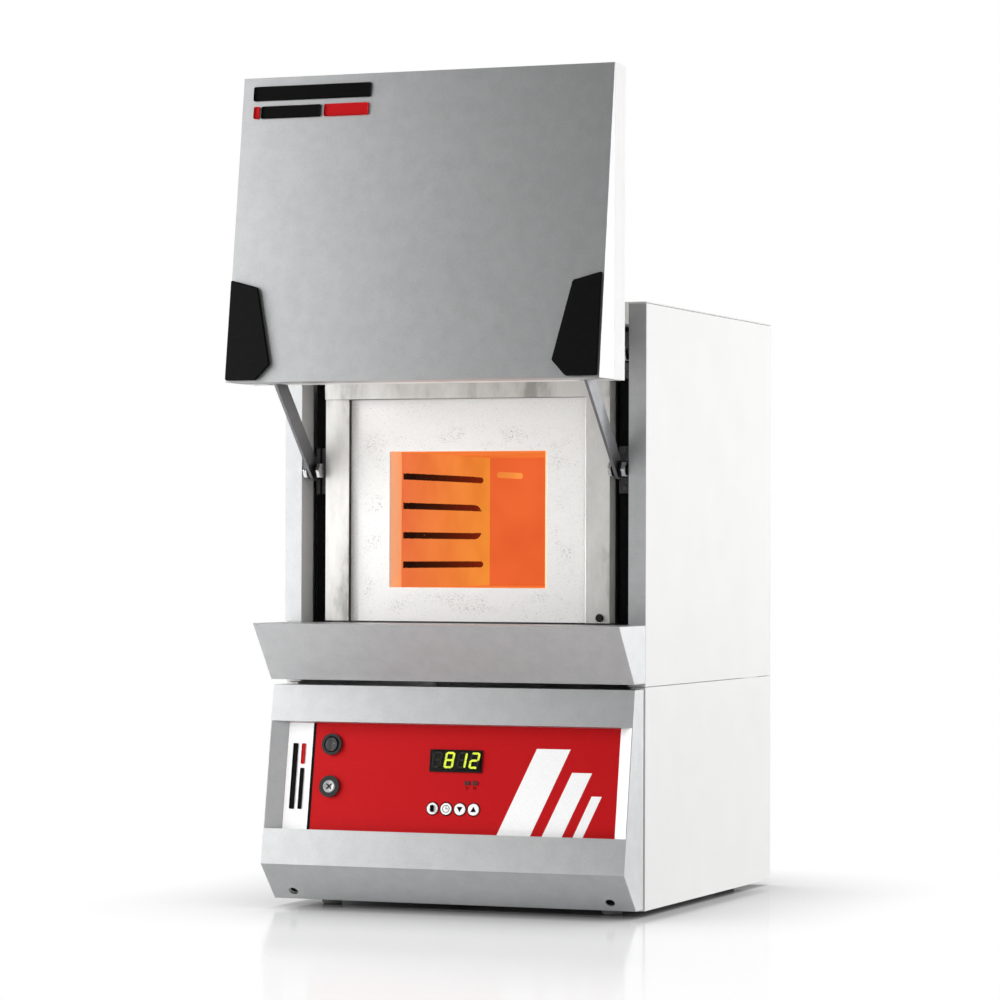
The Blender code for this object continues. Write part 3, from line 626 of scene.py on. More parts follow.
def soften(name, width, segments=2):
    """Weld a solid's triangles and round its sharp edges, width in mm."""
    weld = nodes[name].modifiers.new("weld", "WELD")
    weld.merge_threshold = 0.005 * MM
    edge = nodes[name].modifiers.new("edge", "BEVEL")
    edge.width = width * MM
    edge.segments = segments
    edge.limit_method = "ANGLE"
    edge.angle_limit = math.radians(40)


for name in DRESS[WHITE] + DRESS[SILVER] + DRESS[ALUMINISED]:
    soften(name, 0.5)
for name in DRESS[ZINC][4:8] + DRESS[KEY_FILM]:
    soften(name, 0.3)
print("dressed", sum(len(names) for names in DRESS.values()), "solids")

# %% [markdown]
# ## The heating elements
#
# An element is resistance wire wound into a close spring and laid in the slots of the
# side wall. It runs back and forth through all four slots in one piece. A straight rod
# would look like a rail, so the wire is drawn as a helix about that path. The path is
# worked out from the plain rod's box: four runs, joined by half-circle bends.

# %% Coiled elements
WIRE_R = 0.75             # mm
COIL_R = 2.6              # mm, to the wire's centre
COIL_PITCH = 3.6          # mm from turn to turn


def element_path(name):
    """Points every 0.45 mm along an element's centre line, as (y, z)."""
    low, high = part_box(name)
    rod_r = (high.x - low.x) / 2
    top, bottom = high.z - rod_r, low.z + rod_r
    drop = (top - bottom) / 3
    bend = drop / 2
    front = low.y + rod_r + bend
    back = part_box("chamber_wall_left")[1].y - 4 * MM - bend
    corners = [(high.y, top), (front, top)]
    for turn in range(3):
        y, side = (front, -1) if turn % 2 == 0 else (back, 1)
        middle = top - drop * turn - bend
        corners += [(y + side * bend * math.sin(math.pi * k / 12),
                     middle + bend * math.cos(math.pi * k / 12)) for k in range(13)]
    corners.append((high.y, bottom))
    path = []
    for (y0, z0), (y1, z1) in zip(corners, corners[1:]):
        length = math.dist((y0, z0), (y1, z1))
        steps = max(1, round(length / (COIL_PITCH * MM / 8)))
        path += [(y0 + (y1 - y0) * k / steps, z0 + (z1 - z0) * k / steps) for k in range(steps)]
    return path


RUN_SHIFT = 5.0           # mm, the straight runs lie this much nearer the chamber
FRONT_BEND, BACK_BEND, EASE = 22, 25, 12      # mm, the bends' reach and the way out of them
PACKED, PACK_REACH = 24, 20                   # mm, turns are pressed together and thickened round here: close winding at the bends, and a dark mass as painted shade at the slots' front ends


def wind(name, side):
    """The helix about an element's path, as a curve with a round section."""
    path = element_path(name)
    low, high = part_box(name)
    wall_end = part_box("chamber_wall_left")[1].y
    curve = bpy.data.curves.new("coiled_" + name, "CURVE")
    curve.dimensions = "3D"
    curve.bevel_depth = WIRE_R * MM
    curve.bevel_resolution = 1
    curve.use_fill_caps = True
    spline = curve.splines.new("POLY")
    spline.points.add(len(path) - 1)
    travelled = 0.0
    for index, (y, z) in enumerate(path):
        y1, z1 = path[min(index + 1, len(path) - 1)]
        y0, z0 = path[max(index - 1, 0)]
        heading = math.atan2(z1 - z0, y1 - y0)
        packing_and_shade = max(0.0, 1 - abs((y - low.y) / MM - PACKED) / PACK_REACH)
        travelled += math.dist((y, z), (y1, z1)) * (1 + 0.7 * packing_and_shade)
        slack = 0.9 * noise.noise(Vector((y, z, side)) * 50)
        phase = 2 * math.pi * (travelled / (COIL_PITCH * MM) + slack)
        swing = COIL_R * MM * math.sin(phase)
        from_front = (y - low.y) / MM - FRONT_BEND
        from_back = (wall_end - y) / MM - BACK_BEND
        ease = max(0.0, min(1.0, from_front / EASE, from_back / EASE))
        x = (low.x + high.x) / 2 - side * RUN_SHIFT * MM * ease
        # thicker wire near the front: partly close winding, partly a dark mass as painted shade
        spline.points[index].radius = 1 + 0.45 * packing_and_shade
        spline.points[index].co = (x + COIL_R * MM * math.cos(phase),
                                   y - math.sin(heading) * swing,
                                   z + math.cos(heading) * swing, 1)
    coil = bpy.data.objects.new("coil", curve)
    bpy.context.scene.collection.objects.link(coil)
    only(coil)
    bpy.ops.object.convert(target="MESH")
    return bpy.context.object


def element_alloy():
    """Iron-chrome wire with a dark oxide skin, glowing dull red, and black at the front as painted
    shade.
    """
    material, tree, shader, place = new_material("oxidised element wire", roughness=0.75,
                                                 metallic=0.3)
    tone = ramp(tree, grain(tree, place, 6, 3), (0.35, "#0C0807"), (0.65, "#1C100B"))
    tree.links.new(tone, shader.inputs["Base Color"])
    near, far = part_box("chamber_wall_left")
    axes = node(tree, "ShaderNodeSeparateXYZ", {"Vector": place})
    depth = node(tree, "ShaderNodeMapRange", {"Value": axes.outputs["Y"], "From Min": near.y,
                                              "From Max": far.y})
    # painted shade: the wire's glow fades to black towards the front ends of the slots
    glow = ramp(tree, depth.outputs["Result"], (0.15, "#000000"), (0.45, "#3A0E04"),
                (0.95, "#7E1C0C"))
    tree.links.new(glow, shader.inputs["Emission Color"])
    shader.inputs["Emission Strength"].default_value = 0.8
    bump(tree, shader, grain(tree, place, 0.8, 3), 0.05)
    return material


ELEMENT = element_alloy()
for label, side in (("left", -1), ("right", 1)):
    name = "heating_element_" + label
    coil = settle(wind(name, side), "coiled_element_" + label, "case", ELEMENT)
    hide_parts(name)
    print(coil.name, len(coil.data.polygons), "faces")

# %% [markdown]
# ## The control panel's print
#
# The panel is one sheet of film. It has a white strip at its left with a black rule
# beside it, the red field, and pale bands at the right. On the real thing they are
# ink, a few hundredths of a millimetre thick. Here each is a thin plate standing 0.1 mm
# proud, which keeps its edge crisp at any size, where a masked texture would blur.

# %% Strip, rule and bands
panel_middle = on_panel("control_panel").y / MM
WINDOW = 104.4                                # mm, the film's height that shows
STRIP = (-171.3, -145.2)
RULE = (-145.2, -142.3)
INK = 0.10
for name, (left, right), material in (("panel_strip", STRIP, WHITE_FILM),
                                      ("panel_rule", RULE, BLACK_FILM)):
    piece = plate(right - left, WINDOW, INK, ((left + right) / 2, panel_middle), 0.02)
    settle(piece, name, "case", material, PANEL)
    print(name, round(right - left, 1), "mm wide")

# %% [markdown]
# ### Slanted bands
#
# Three pale bands fill the right of the panel. They could be cut from a wide sheet,
# but a slanted band is simply a plate whose upper edge is slid sideways, so one short
# function makes all three, each narrower and lower than the last.

# %% Bands
def band(left, width, slant, low, high):
    """A slanted band: a plate whose top edge is moved sideways, in mm."""
    piece = plate(width, high - low, INK, (0, 0), 0.02)
    edit(piece, lambda vert: vert.co.y > 0, "verts")
    bpy.ops.transform.translate(value=(slant * MM, 0, 0))
    done()
    piece.location += Vector(((left + width / 2) * MM, (low + high) / 2 * MM, 0))
    return piece


band_low = panel_middle - WINDOW / 2
BANDS = ((52, 34, 36, 0, 84), (98, 20, 27, 0, 62), (129, 10, 17, 0, 40))
for index, (left, width, slant, low, high) in enumerate(BANDS):
    piece = band(left, width, slant, band_low + low, band_low + high)
    settle(piece, f"panel_band_{index}", "case", WHITE_FILM, PANEL)
print(len(BANDS), "bands, the widest", BANDS[0][1], "mm")

# %% [markdown]
# ### Bars on the strip
#
# The strip carries plain bars where such a machine has its name: two black ones and a
# short red one. They are plates with rounded corners on top of the strip's own print.

# %% Bars
strip_x = (STRIP[0] + STRIP[1]) / 2
bars = []
for offset, length, width, rise in ((-4.5, 64, 5.0, 0), (4.0, 40, 4.0, -12)):
    bars.append(plate(width, length, INK, (strip_x + offset, panel_middle + rise), 0.14, 0.8))
settle(merged(bars), "strip_bars", "case", BLACK_FILM, PANEL)
accent = plate(4.0, 20, INK, (strip_x + 4.0, panel_middle + 22), 0.14, 0.8)
settle(accent, "strip_accent", "case", RED_FILM, PANEL)
print("bars centred at x =", round(strip_x, 1), "mm")

# %% [markdown]
# ## The display
#
# A seven-segment display is a row of light bars behind a smoked window. Each bar is a
# long hexagon. One bar is modelled, by cutting the corners of a thin plate, and copied
# to the seven places of each digit. The bars that are off still show faintly, so they
# are made too, in a grey a little lighter than the window.

# %% Digits
DIGIT_HEIGHT = 15.6       # mm
DIGIT_WIDTH = 7.6
DIGIT_PITCH = 12.9
BAR = 1.9
LEAN = math.tan(math.radians(8))
SEGMENTS = {              # (across, up, upright?) as fractions of the digit's half sizes
    "a": (0, 1, False), "b": (1, 0.5, True), "c": (1, -0.5, True), "d": (0, -1, False),
    "e": (-1, -0.5, True), "f": (-1, 0.5, True), "g": (0, 0, False),
}
SHAPES = {" ": "", "8": "abcdefg", "1": "bc", "2": "abged"}


def light_bar(length, across, up, upright):
    piece = plate(length, BAR, 0.12, (0, 0), 0)
    edit(piece, lambda edge: climb(edge) > 0.06 * MM, "edges")
    bpy.ops.mesh.bevel(offset=BAR * 0.45 * MM, segments=1)
    done()
    turn = Matrix.Rotation(math.radians(90 if upright else 0), 4, "Z")
    shear = Matrix(((1, LEAN, 0, 0), (0, 1, 0, 0), (0, 0, 1, 0), (0, 0, 0, 1)))
    shift = Matrix.Translation((across * MM, up * MM, 0))
    piece.data.transform(shear @ shift @ turn @ piece.matrix_basis)
    piece.matrix_world = Matrix.Identity(4)
    return piece


def glowing(name, code, strength, base="#101010"):
    material, tree, shader, place = new_material(name, roughness=0.4)
    tone = ramp(tree, grain(tree, place, 2.5, 2), (0.3, base), (0.7, code))
    tree.links.new(tone, shader.inputs["Base Color"])
    shader.inputs["Emission Color"].default_value = linear(code)
    shader.inputs["Emission Strength"].default_value = strength
    return material


# a lit light bar under smoked acrylic: even yellow-green, the brightest thing on the panel
LIT = glowing("lit segment", "#CFE045", 0.85)
# the same bars when off: moulded grey that hardly shows
UNLIT = moulded("unlit segment", "#26261F", "#2E2E27", 0.5, 1.0, 0.01)
# a small red window with no light behind it: dark red, glossy
LED_OFF = moulded("unlit indicator", "#4A1416", "#5A1A1C", 0.3, 1.0, 0.01)

display = on_panel("display_module")
SCREEN_TOP = 1.1          # mm, the display window above the panel
window = plate(50.6, 18.4, 0.25, (display.x / MM, display.y / MM), SCREEN_TOP + 0.02, 1.0)
settle(window, "display_window", "case", DISPLAY_GLASS, PANEL)
lit, unlit = [], []
for place, figure in enumerate(" 812"):
    x = display.x / MM + (place - 1.5) * DIGIT_PITCH
    for key, (across, up, upright) in SEGMENTS.items():
        on = key in SHAPES[figure]
        length = (DIGIT_HEIGHT / 2 if upright else DIGIT_WIDTH) - 0.5
        bar = light_bar(length, across * DIGIT_WIDTH / 2, up * (DIGIT_HEIGHT - BAR) / 2, upright)
        bar.location = (x * MM, display.y, (SCREEN_TOP + (0.34 if on else 0.30)) * MM)
        (lit if on else unlit).append(bar)
settle(merged(lit), "lit_segments", "case", LIT, PANEL)
print("light bars on and off:", len(lit), len(unlit))
settle(merged(unlit), "unlit_segments", "case", UNLIT, PANEL)

# %% [markdown]
# ## Keys, indicators, switch and lamp
#
# The keys are white discs in black rings, each with one plain mark: a pill, a clock
# face and two arrows. A mark rides on its key, so that it goes in when the key is
# pressed. The two indicators are small dark windows.

# %% Key marks
keys = {name: on_panel(name) for name in ("key_page", "key_clock", "key_down", "key_up")}
KEY_TOP = 1.0             # mm, the keys above the panel
MARK = 0.06


def ring(outer, inner, low, high, middle=(0, 0)):
    """A flat ring: a drum with a smaller one bored out of it."""
    piece = drum(outer, low, high, middle, 40)
    bore = drum(inner, low - 1, high + 1, middle, 40)
    apply_modifier(piece, "BOOLEAN", object=bore, operation="DIFFERENCE")
    bpy.data.objects.remove(bore)
    return piece


def arrow(direction):
    """A triangle that points up or down: a three-sided drum."""
    bpy.ops.mesh.primitive_cylinder_add(vertices=3, radius=3.4 * MM, depth=MARK * MM)
    piece = bpy.context.object
    piece.rotation_euler.z = 0 if direction > 0 else math.pi
    piece.location.y = -direction * 0.6 * MM
    return piece


marks = {
    "key_page": [plate(3.6, 6.8, MARK, (0, 0), -MARK / 2, 1.5)],
    "key_clock": [ring(3.7, 3.1, -MARK / 2, MARK / 2), plate(0.7, 2.8, MARK, (0, 1.2), -MARK / 2),
                  plate(2.2, 0.7, MARK, (0.9, 0), -MARK / 2)],
    "key_down": [arrow(-1)],
    "key_up": [arrow(1)],
}
for name, solids in marks.items():
    mark = merged(solids)
    mark.location += Vector((keys[name].x, keys[name].y, (KEY_TOP + MARK / 2 + 0.02) * MM))
    settle(mark, name + "_mark", name + "_cap", BLACK_FILM, PANEL)
    rim = ring(6.6, 6.05, 0.02, 0.3, (keys[name].x / MM, keys[name].y / MM))
    settle(rim, name + "_ring", "case", BLACK_FILM, PANEL)
print("marked:", ", ".join(marks))

# %% [markdown]
# ### Indicators
#
# Between the display and the keys are two lamps the size of a grain of rice, each with
# a small sign under it. The signs are drawn from short strokes, too small to read as
# more than a mark.

# %% Indicators
led_rise = keys["key_up"].y / MM + 25.3
leds = [plate(6.2, 4.0, 0.5, (x, led_rise), 0.02, 0.5) for x in (19.1, 27.0)]
settle(merged(leds), "indicator_windows", "case", LED_OFF, PANEL)
strokes = ((3.6, 0.6, 19.1, -4.2), (1.2, 0.6, 19.1, -6.4), (0.6, 2.2, 19.1, -5.3),
           (3.4, 0.6, 27.0, -4.2), (0.6, 2.2, 26.0, -5.3), (0.6, 2.2, 28.0, -5.3))
signs = [plate(width, height, 0.08, (x, led_rise + up), 0.02) for width, height, x, up in strokes]
settle(merged(signs), "indicator_signs", "case", BLACK_FILM, PANEL)
print("two indicators", round(led_rise, 1), "mm up the panel")

# %% [markdown]
# ### The rocker
#
# The rocker is a round button with a dished top, pivoted in the middle, so one end is
# always down. It starts as a drum. Its top is cut across the middle, and the line in
# the middle is pushed down, which leaves two slopes.

# %% Rocker
def rocker():
    piece = drum(7.0, -1.5, 4.4, sides=40, rim=0.5)
    edit(piece)
    bpy.ops.mesh.bisect(plane_co=(0, 0, 0), plane_no=(1, 0, 0))
    done()
    edit(piece, lambda vert: abs(vert.co.x) < 0.01 * MM and vert.co.z > 0, "verts")
    bpy.ops.transform.translate(value=(0, 0, -1.1 * MM))
    done()
    return piece


ROCKER_LEAN = math.radians(7)
axle = Matrix.Translation((rocker_pivot.x, 0, -ROCKER_DEPTH))
swing = PANEL @ axle @ Matrix.Rotation(-ROCKER_LEAN, 4, "Y")
switch = rocker()
round_off(switch)
settle(switch, "rocker_button", "rocker", BEZEL_ABS, swing)
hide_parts("switch_rocker")
SLOPE = math.atan2(1.1, 7.0)
for mark, name, x, way in ((plate(0.7, 3.2, 0.08, (-3.6, 0), 0), "rocker_on_mark", 0, -1),
                           (ring(1.5, 0.9, 0, 0.08), "rocker_off_mark", 3.8, 1)):
    top = (Matrix.Translation((0, 0, 3.32 * MM)) @ Matrix.Rotation(-way * SLOPE, 4, "Y")
           @ Matrix.Translation((x * MM, 0, 0.03 * MM)))
    settle(mark, name, "rocker", WHITE_FILM, swing @ top)
print("rocker leans", round(math.degrees(ROCKER_LEAN)), "degrees to its off side")

# %% [markdown]
# ### The lamp
#
# A pilot lamp's lens is moulded with facets, so that it glitters from any side. A dome
# would look blank. Insets step the top of a drum in and up, poke splits it into
# facets round a sunk middle, and two black crossed ribs lie in the hollow as a painted
# reflection of the X that the facets throw.

# %% Lamp lens
lamp = on_panel("lamp_lens")


def lens():
    """A cut lens: a drum whose top is inset, raised and split into facets round a sunk middle."""
    piece = drum(6.2, -8, 2.2, sides=24)
    edit(piece, facing_up)
    bpy.ops.mesh.inset(thickness=1.0 * MM)
    bpy.ops.transform.translate(value=(0, 0, 0.9 * MM))
    bpy.ops.mesh.inset(thickness=0.8 * MM)
    bpy.ops.transform.translate(value=(0, 0, -0.3 * MM))
    bpy.ops.mesh.poke(offset=-1.0 * MM)
    done()
    return piece


piece = lens()
piece.location += Vector((lamp.x, lamp.y, 0))
settle(piece, "lamp_cut_lens", "case", LENS, PANEL)
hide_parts("lamp_lens")
CROSS_LIFT = 2.1          # mm, the cross's foot above the panel
# painted reflection: black ribs stand for the dark X that the lens facets reflect
cross = merged([plate(1.0, 7.4, 0.8), plate(7.4, 1.0, 0.8)])
cross.matrix_world = (Matrix.Translation((lamp.x, lamp.y, CROSS_LIFT * MM))
                      @ Matrix.Rotation(math.radians(45), 4, "Z") @ cross.matrix_basis)
settle(cross, "lamp_cross", "case", BEZEL_ABS, PANEL)
print("lens", len(piece.data.polygons), "faces")

# %% [markdown]
# ## Screws
#
# A socket screw is a drum with a rounded rim and a six-sided well. One is made, and
# each screw is a copy that is stood at its place along its own axis.

# %% Screws
def socket_screw(radius, height):
    head = drum(radius, 0, height, sides=28, rim=radius * 0.15)
    bpy.ops.mesh.primitive_cylinder_add(vertices=6, radius=radius * 0.5 * MM,
                                        depth=height * 1.4 * MM,
                                        location=(0, 0, height * 1.1 * MM))
    well = bpy.context.object
    apply_modifier(head, "BOOLEAN", object=well, operation="DIFFERENCE")
    bpy.data.objects.remove(well)
    round_off(head)
    return head


def stand(point, axis):
    turn = Vector((0, 0, 1)).rotation_difference(Vector(axis)).to_matrix().to_4x4()
    return Matrix.Translation(point) @ turn


def screws(name, radius, height, places, body, material=BRIGHT):
    """A row of like screws at (point, axis) places, as one piece."""
    first = socket_screw(radius, height)
    row = []
    for point, axis in places:
        one = copy_of(first, "screw")
        one.matrix_world = stand(point, axis) @ first.matrix_basis
        row.append(one)
    bpy.data.objects.remove(first)
    return settle(merged(row), name, body, material)


case_low, case_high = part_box("upper_rear_panel")
base_low, base_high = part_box("lower_rear_panel")
back = (0, 1, 0)
rear_y = case_high.y
SCREW_X, SCREW_IN = 0.176, 0.012          # m, off the middle, and in from a panel's ends
rises = (case_low.z + SCREW_IN, (case_low.z + case_high.z) / 2, case_high.z - SCREW_IN)
places = [((x, rear_y, z), back) for x in (-SCREW_X, SCREW_X) for z in rises]
places += [((x, rear_y, z), back) for x in (-SCREW_X, SCREW_X)
           for z in (base_low.z + SCREW_IN, base_high.z - SCREW_IN)]
screws("rear_panel_screws", 3.4, 2.0, places, "case")
print(len(places), "screws in the rear panels")

# %% [markdown]
# ## The linkage's fittings
#
# Each arm turns on a bolt between an ear and the arm, with a hexagon head inside and a
# nut outside. A hexagon head is turned before it is plated, so its corners are cut by
# a cone. Behind the bolt a plate carries the ear.

# %% Bolts and nuts
HEX_R = 8.0               # mm, to the corners


def hexagon(radius, height, bore=0.0):
    """A hexagon head, or a nut if it has a bore: its upper corners cut by a cone."""
    head = drum(radius, 0, height, sides=6)
    cone = drum(radius * 0.985, -1, height, sides=36, rim=min(height * 0.45, radius * 0.14))
    apply_modifier(head, "BOOLEAN", object=cone, operation="INTERSECT")
    bpy.data.objects.remove(cone)
    if bore:
        hole = drum(bore, -1, height + 1, sides=28)
        apply_modifier(head, "BOOLEAN", object=hole, operation="DIFFERENCE")
        bpy.data.objects.remove(hole)
    return head


case_pins = [Vector(joints[name]["pos_m"]) for name in ("door_swing", "upper_arm_swing")]
for side in (-1, 1):
    label = "right" if side > 0 else "left"
    fittings = []
    for pin in case_pins:
        for x, way, bore, height in ((153.15, -side, 0.0, 3.3), (163.3, side, 6.1, 4.2)):
            piece = hexagon(HEX_R, height, bore)
            place = stand((side * x * MM, pin.y, pin.z), (way, 0, 0))
            piece.matrix_world = place @ piece.matrix_basis
            fittings.append(piece)
    settle(merged(fittings), "pivot_bolts_" + label, "case", BRIGHT)
    print("pivot_bolts_" + label, len(fittings), "heads and nuts")

# %% [markdown]
# ### Bracket plates
#
# Each ear comes through a thin plate screwed to the case. The plate is slit for the
# ear, so it is made as two flat strips, one each side of the slit, with two screws.

# %% Bracket plates
def bracket(side):
    """The plate that an ear is bolted through, slit for the ear, with two screws."""
    solids = [plate(11.0, 45, 0.5, (side * 155.5, 0)), plate(3.6, 45, 0.5, (side * 165.3, 0))]
    for rise in (-17, 17):
        solids.append(drum(2.6, 0.4, 2.2, (side * 155.5, rise), 20, 0.5))
    return merged(solids)


for side in (-1, 1):
    label = "right" if side > 0 else "left"
    for row, pin in zip(("lower", "upper"), case_pins):
        front = Vector((0, pin.y + 26.5 * MM, pin.z))
        space = lean_space(front, Vector((0, 0, 1)), Vector((0, -1, 0)))
        settle(bracket(side), f"{row}_bracket_{label}", "case", BRACKET, space)
print("brackets at heights", [round(pin.z / MM) for pin in case_pins], "mm")

# %% [markdown]
# ## Trim of the case
#
# The uprights beside the mouth wear the same silver coat as the other front faces. It
# is drawn as a thin skin over the white flange, because one solid takes one finish.

# %% Silver uprights
upright_low, upright_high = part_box("upper_side_right")
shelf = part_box("lip_panel")[1].z + 0.5 * MM
upright_height = (upright_high.z - shelf) / MM - 0.5
UPRIGHT = lean_space(Vector((0, upright_low.y, shelf)), Vector((0, 0, 1)), Vector((0, -1, 0)))
for side in (-1, 1):
    label = "right" if side > 0 else "left"
    piece = plate(17.3, upright_height, 0.3, (side * 178.7, upright_height / 2), 0.01)
    settle(piece, "upright_skin_" + label, "case", SILVER, UPRIGHT)
print("uprights", round(upright_height), "mm high")

# %% [markdown]
# ### Feet
#
# A foot is turned rubber, drawn in towards the floor, with a rounded tread and a sunk
# pocket for its screw. It is modelled upside down, where the tread is on top and easy to
# select, and then stood on its head.

# %% Feet
def foot(height):
    """A foot upside down: a drum drawn in towards the floor, with a rounded tread."""
    piece = drum(11.0, 0, height, sides=36)
    edit(piece, facing_up)
    bpy.ops.transform.resize(value=(0.86, 0.86, 1))
    bpy.ops.mesh.bevel(offset=1.8 * MM, segments=4)
    done()
    edit(piece, facing_up)
    bpy.ops.mesh.inset(thickness=4.6 * MM)
    bpy.ops.transform.translate(value=(0, 0, -2.0 * MM))
    done()
    round_off(piece, 50)
    return piece


for name in DRESS[FOOT_RUBBER]:
    low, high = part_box(name)
    middle = (low + high) / 2
    piece = foot((high.z - low.z) / MM)
    turned_over = stand((middle.x, middle.y, high.z), (0, 0, -1))
    settle(piece, "turned_" + name, "case", FOOT_RUBBER, turned_over)
    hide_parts(name)
print("feet", round((high.z - low.z) / MM, 1), "mm high")

# %% [markdown]
# ### Bolts of the fascia
#
# Two bolts hold the fascia through its lower slope. They stand deep in their holes,
# black against the silver, so only their dark tops are seen.

# %% Fascia bolts
fascia_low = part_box("fascia")[0]
CHAMFER_RUN, CHAMFER_RISE = 33.9, 35.9    # mm, from the chamfer's foot to its crease
HOLE_X, HOLE_UP, HOLE_DEPTH = 163.5, 11.0, 4.5
chamfer_up = Vector((0, -CHAMFER_RUN, CHAMFER_RISE)).normalized()
chamfer_foot = Vector((0, fascia_low.y + CHAMFER_RUN * MM, fascia_low.z))
CHAMFER = lean_space(chamfer_foot, chamfer_up, Vector((1, 0, 0)).cross(chamfer_up))
bolts = []
for side in (-1, 1):
    bolt = socket_screw(4.3, 3.0)
    bolt.location = (side * HOLE_X * MM, HOLE_UP * MM, -HOLE_DEPTH * MM)
    bolts.append(bolt)
settle(merged(bolts), "fascia_bolts", "case", BLACK_PAINT_AND_GAP_SHADE, CHAMFER)
print("bolt tops", HOLE_DEPTH - 3.0, "mm under the slope")

# %% [markdown]
# ### Bars on the door
#
# The door carries the same plain bars as the strip, larger: a long black one over a
# row of red, black and red. They lie on the door's skin and swing with the door.

# %% Bars on the door
door_left, door_top = skin_low.x / MM + 11.5, skin_length / MM - 9.0
label = [plate(122, 14.0, INK, (door_left + 61, door_top - 7.0), 0.03, 1.5),
         plate(62, 12.0, INK, (door_left + 40, door_top - 25.5), 0.03, 1.5)]
settle(merged(label), "door_bars", "door", BLACK_FILM, SKIN)
red_label = [plate(46, 12.0, INK, (door_left + 97.5, door_top - 25.5), 0.03, 1.5),
             plate(6, 12.0, INK, (door_left + 4, door_top - 25.5), 0.03, 1.5)]
settle(merged(red_label), "door_accents", "door", RED_FILM, SKIN)
print("bars start", round(door_left - skin_low.x / MM, 1), "mm from the door's edge")

# %% [markdown]
# ### The back of the case
#
# At the back there is a blank metal plate on four rivets, and the nut that holds the
# cable's gland. The plate's edges are bevelled by a modifier, since all are alike.

# %% Blank plate and gland nut
BACK = (Matrix.Translation((0, rear_y, 0)) @ Matrix.Rotation(math.pi, 4, "Z")
        @ lean_space(Vector((0, 0, 0)), Vector((0, 0, 1)), Vector((0, -1, 0))))
rating = plate(78, 46, 0.5, (-60, 185), 0.02, 3.0)
apply_modifier(rating, "BEVEL", width=0.15 * MM, segments=2, limit_method="ANGLE")
rivets = [drum(1.6, 0.5, 1.2, (-60 + x, 185 + z), 18, 0.5) for x in (-35, 35) for z in (-19, 19)]
settle(merged([rating] + rivets), "blank_rating_plate", "case", ALUMINISED, BACK)
gland_low, gland_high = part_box("cable_gland")
gland = (gland_low + gland_high) / 2
nut = hexagon(13.5, 5.0, 8.3)
nut.location = (-gland.x, gland.z, 0.05 * MM)
settle(nut, "gland_nut", "case", BEZEL_ABS, BACK)
print("plate 78 x 46 mm, nut", 2 * 13.5, "mm across its corners")

# %% [markdown]
# ## The back of the door
#
# The ceramic plug is held to the door by four screws. Their heads are sunk in the
# board, out of the heat, and the pockets are filled with ceramic cement. The plug
# closes within half a millimetre of the collar, so the fillings stand only 0.2 mm
# proud. Each is a low drum whose top is drawn in and rounded, like a trowelled dab.

# %% Cement over the plug's screws
CAP_R, CAP_EDGE = 9.0, 22.0           # mm, a cap's radius and its place from the plug's edges
plug_low, plug_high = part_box("door_plug")
caps = []
for x in (plug_low.x + CAP_EDGE * MM, plug_high.x - CAP_EDGE * MM):
    for z in (plug_low.z + CAP_EDGE * MM, plug_high.z - CAP_EDGE * MM):
        cap = drum(CAP_R, -0.5, 0.2, sides=40, rim=0.15)
        cap.matrix_world = stand((x, plug_high.y, z), back) @ cap.matrix_basis
        caps.append(cap)
settle(merged(caps), "plug_caps", "door", CEMENT)
print("four caps on a plug", round((plug_high.x - plug_low.x) / MM), "mm wide")

# %% [markdown]
# ## The stage
#
# The furnace stands on pale, lightly polished paper that rises into a white backdrop.
# What the camera sees of the paper is white where nothing stands near, with painted
# shade close to the furnace, so its edge never shows. Behind the camera the backdrop is a light
# grey.

# %% The backdrop's brightness
def backdrop(tree, bearing):
    """White behind the furnace, a light grey in front of it, so white sides stand out."""
    return node(tree, "ShaderNodeMapRange", {"Value": bearing, "From Min": -0.2, "From Max": 0.3,
                                             "To Min": 0.72, "To Max": 1.0},
                interpolation_type="SMOOTHSTEP").outputs["Result"]


# %% Floor
bpy.ops.mesh.primitive_plane_add(size=14, location=(0, 0, 0))
floor = bpy.context.object
floor.name = "studio_floor"
floor_paint = bpy.data.materials.new("pale gloss floor")
floor_paint.use_nodes = True
tree = floor_paint.node_tree
tree.nodes.clear()
# painted shade: an occlusion node darkens the floor that the camera sees, close to the furnace
painted_contact_shade = node(tree, "ShaderNodeAmbientOcclusion", {"Distance": 0.2}, samples=8)
spot = node(tree, "ShaderNodeTexCoord").outputs["Object"]
across = node(tree, "ShaderNodeSeparateXYZ", {"Vector": spot})
reach = node(tree, "ShaderNodeVectorMath", {0: spot}, operation="LENGTH").outputs["Value"]
bearing = node(tree, "ShaderNodeMath", {0: across.outputs["Y"], 1: reach}, operation="DIVIDE")
distant = node(tree, "ShaderNodeMapRange", {"Value": reach, "From Min": 1.1, "From Max": 2.4},
               interpolation_type="SMOOTHSTEP")
paper = node(tree, "ShaderNodeMix", {0: distant.outputs["Result"], 2: 1.0,
                                     3: backdrop(tree, bearing.outputs[0])}, data_type="FLOAT")
seen_floor = node(tree, "ShaderNodeEmission", {"Color": painted_contact_shade.outputs["Color"],
                                               "Strength": paper.outputs[0]})
felt_floor = node(tree, "ShaderNodeBsdfDiffuse", {"Color": (0.9, 0.9, 0.9, 1)})
path = node(tree, "ShaderNodeLightPath")
matt = node(tree, "ShaderNodeMixShader", {0: path.outputs["Is Camera Ray"],
                                          1: felt_floor.outputs[0], 2: seen_floor.outputs[0]})
gloss = node(tree, "ShaderNodeBsdfGlossy", {"Color": (1, 1, 1, 1), "Roughness": 0.12})
polish = times(tree, between(tree, across.outputs["Y"], -0.75, 0.3, 0.25),
               between(tree, across.outputs["X"], -0.5, 0.5, 0.2))
both = node(tree, "ShaderNodeMixShader", {0: times(tree, polish, 0.32), 1: matt.outputs[0],
                                          2: gloss.outputs[0]})
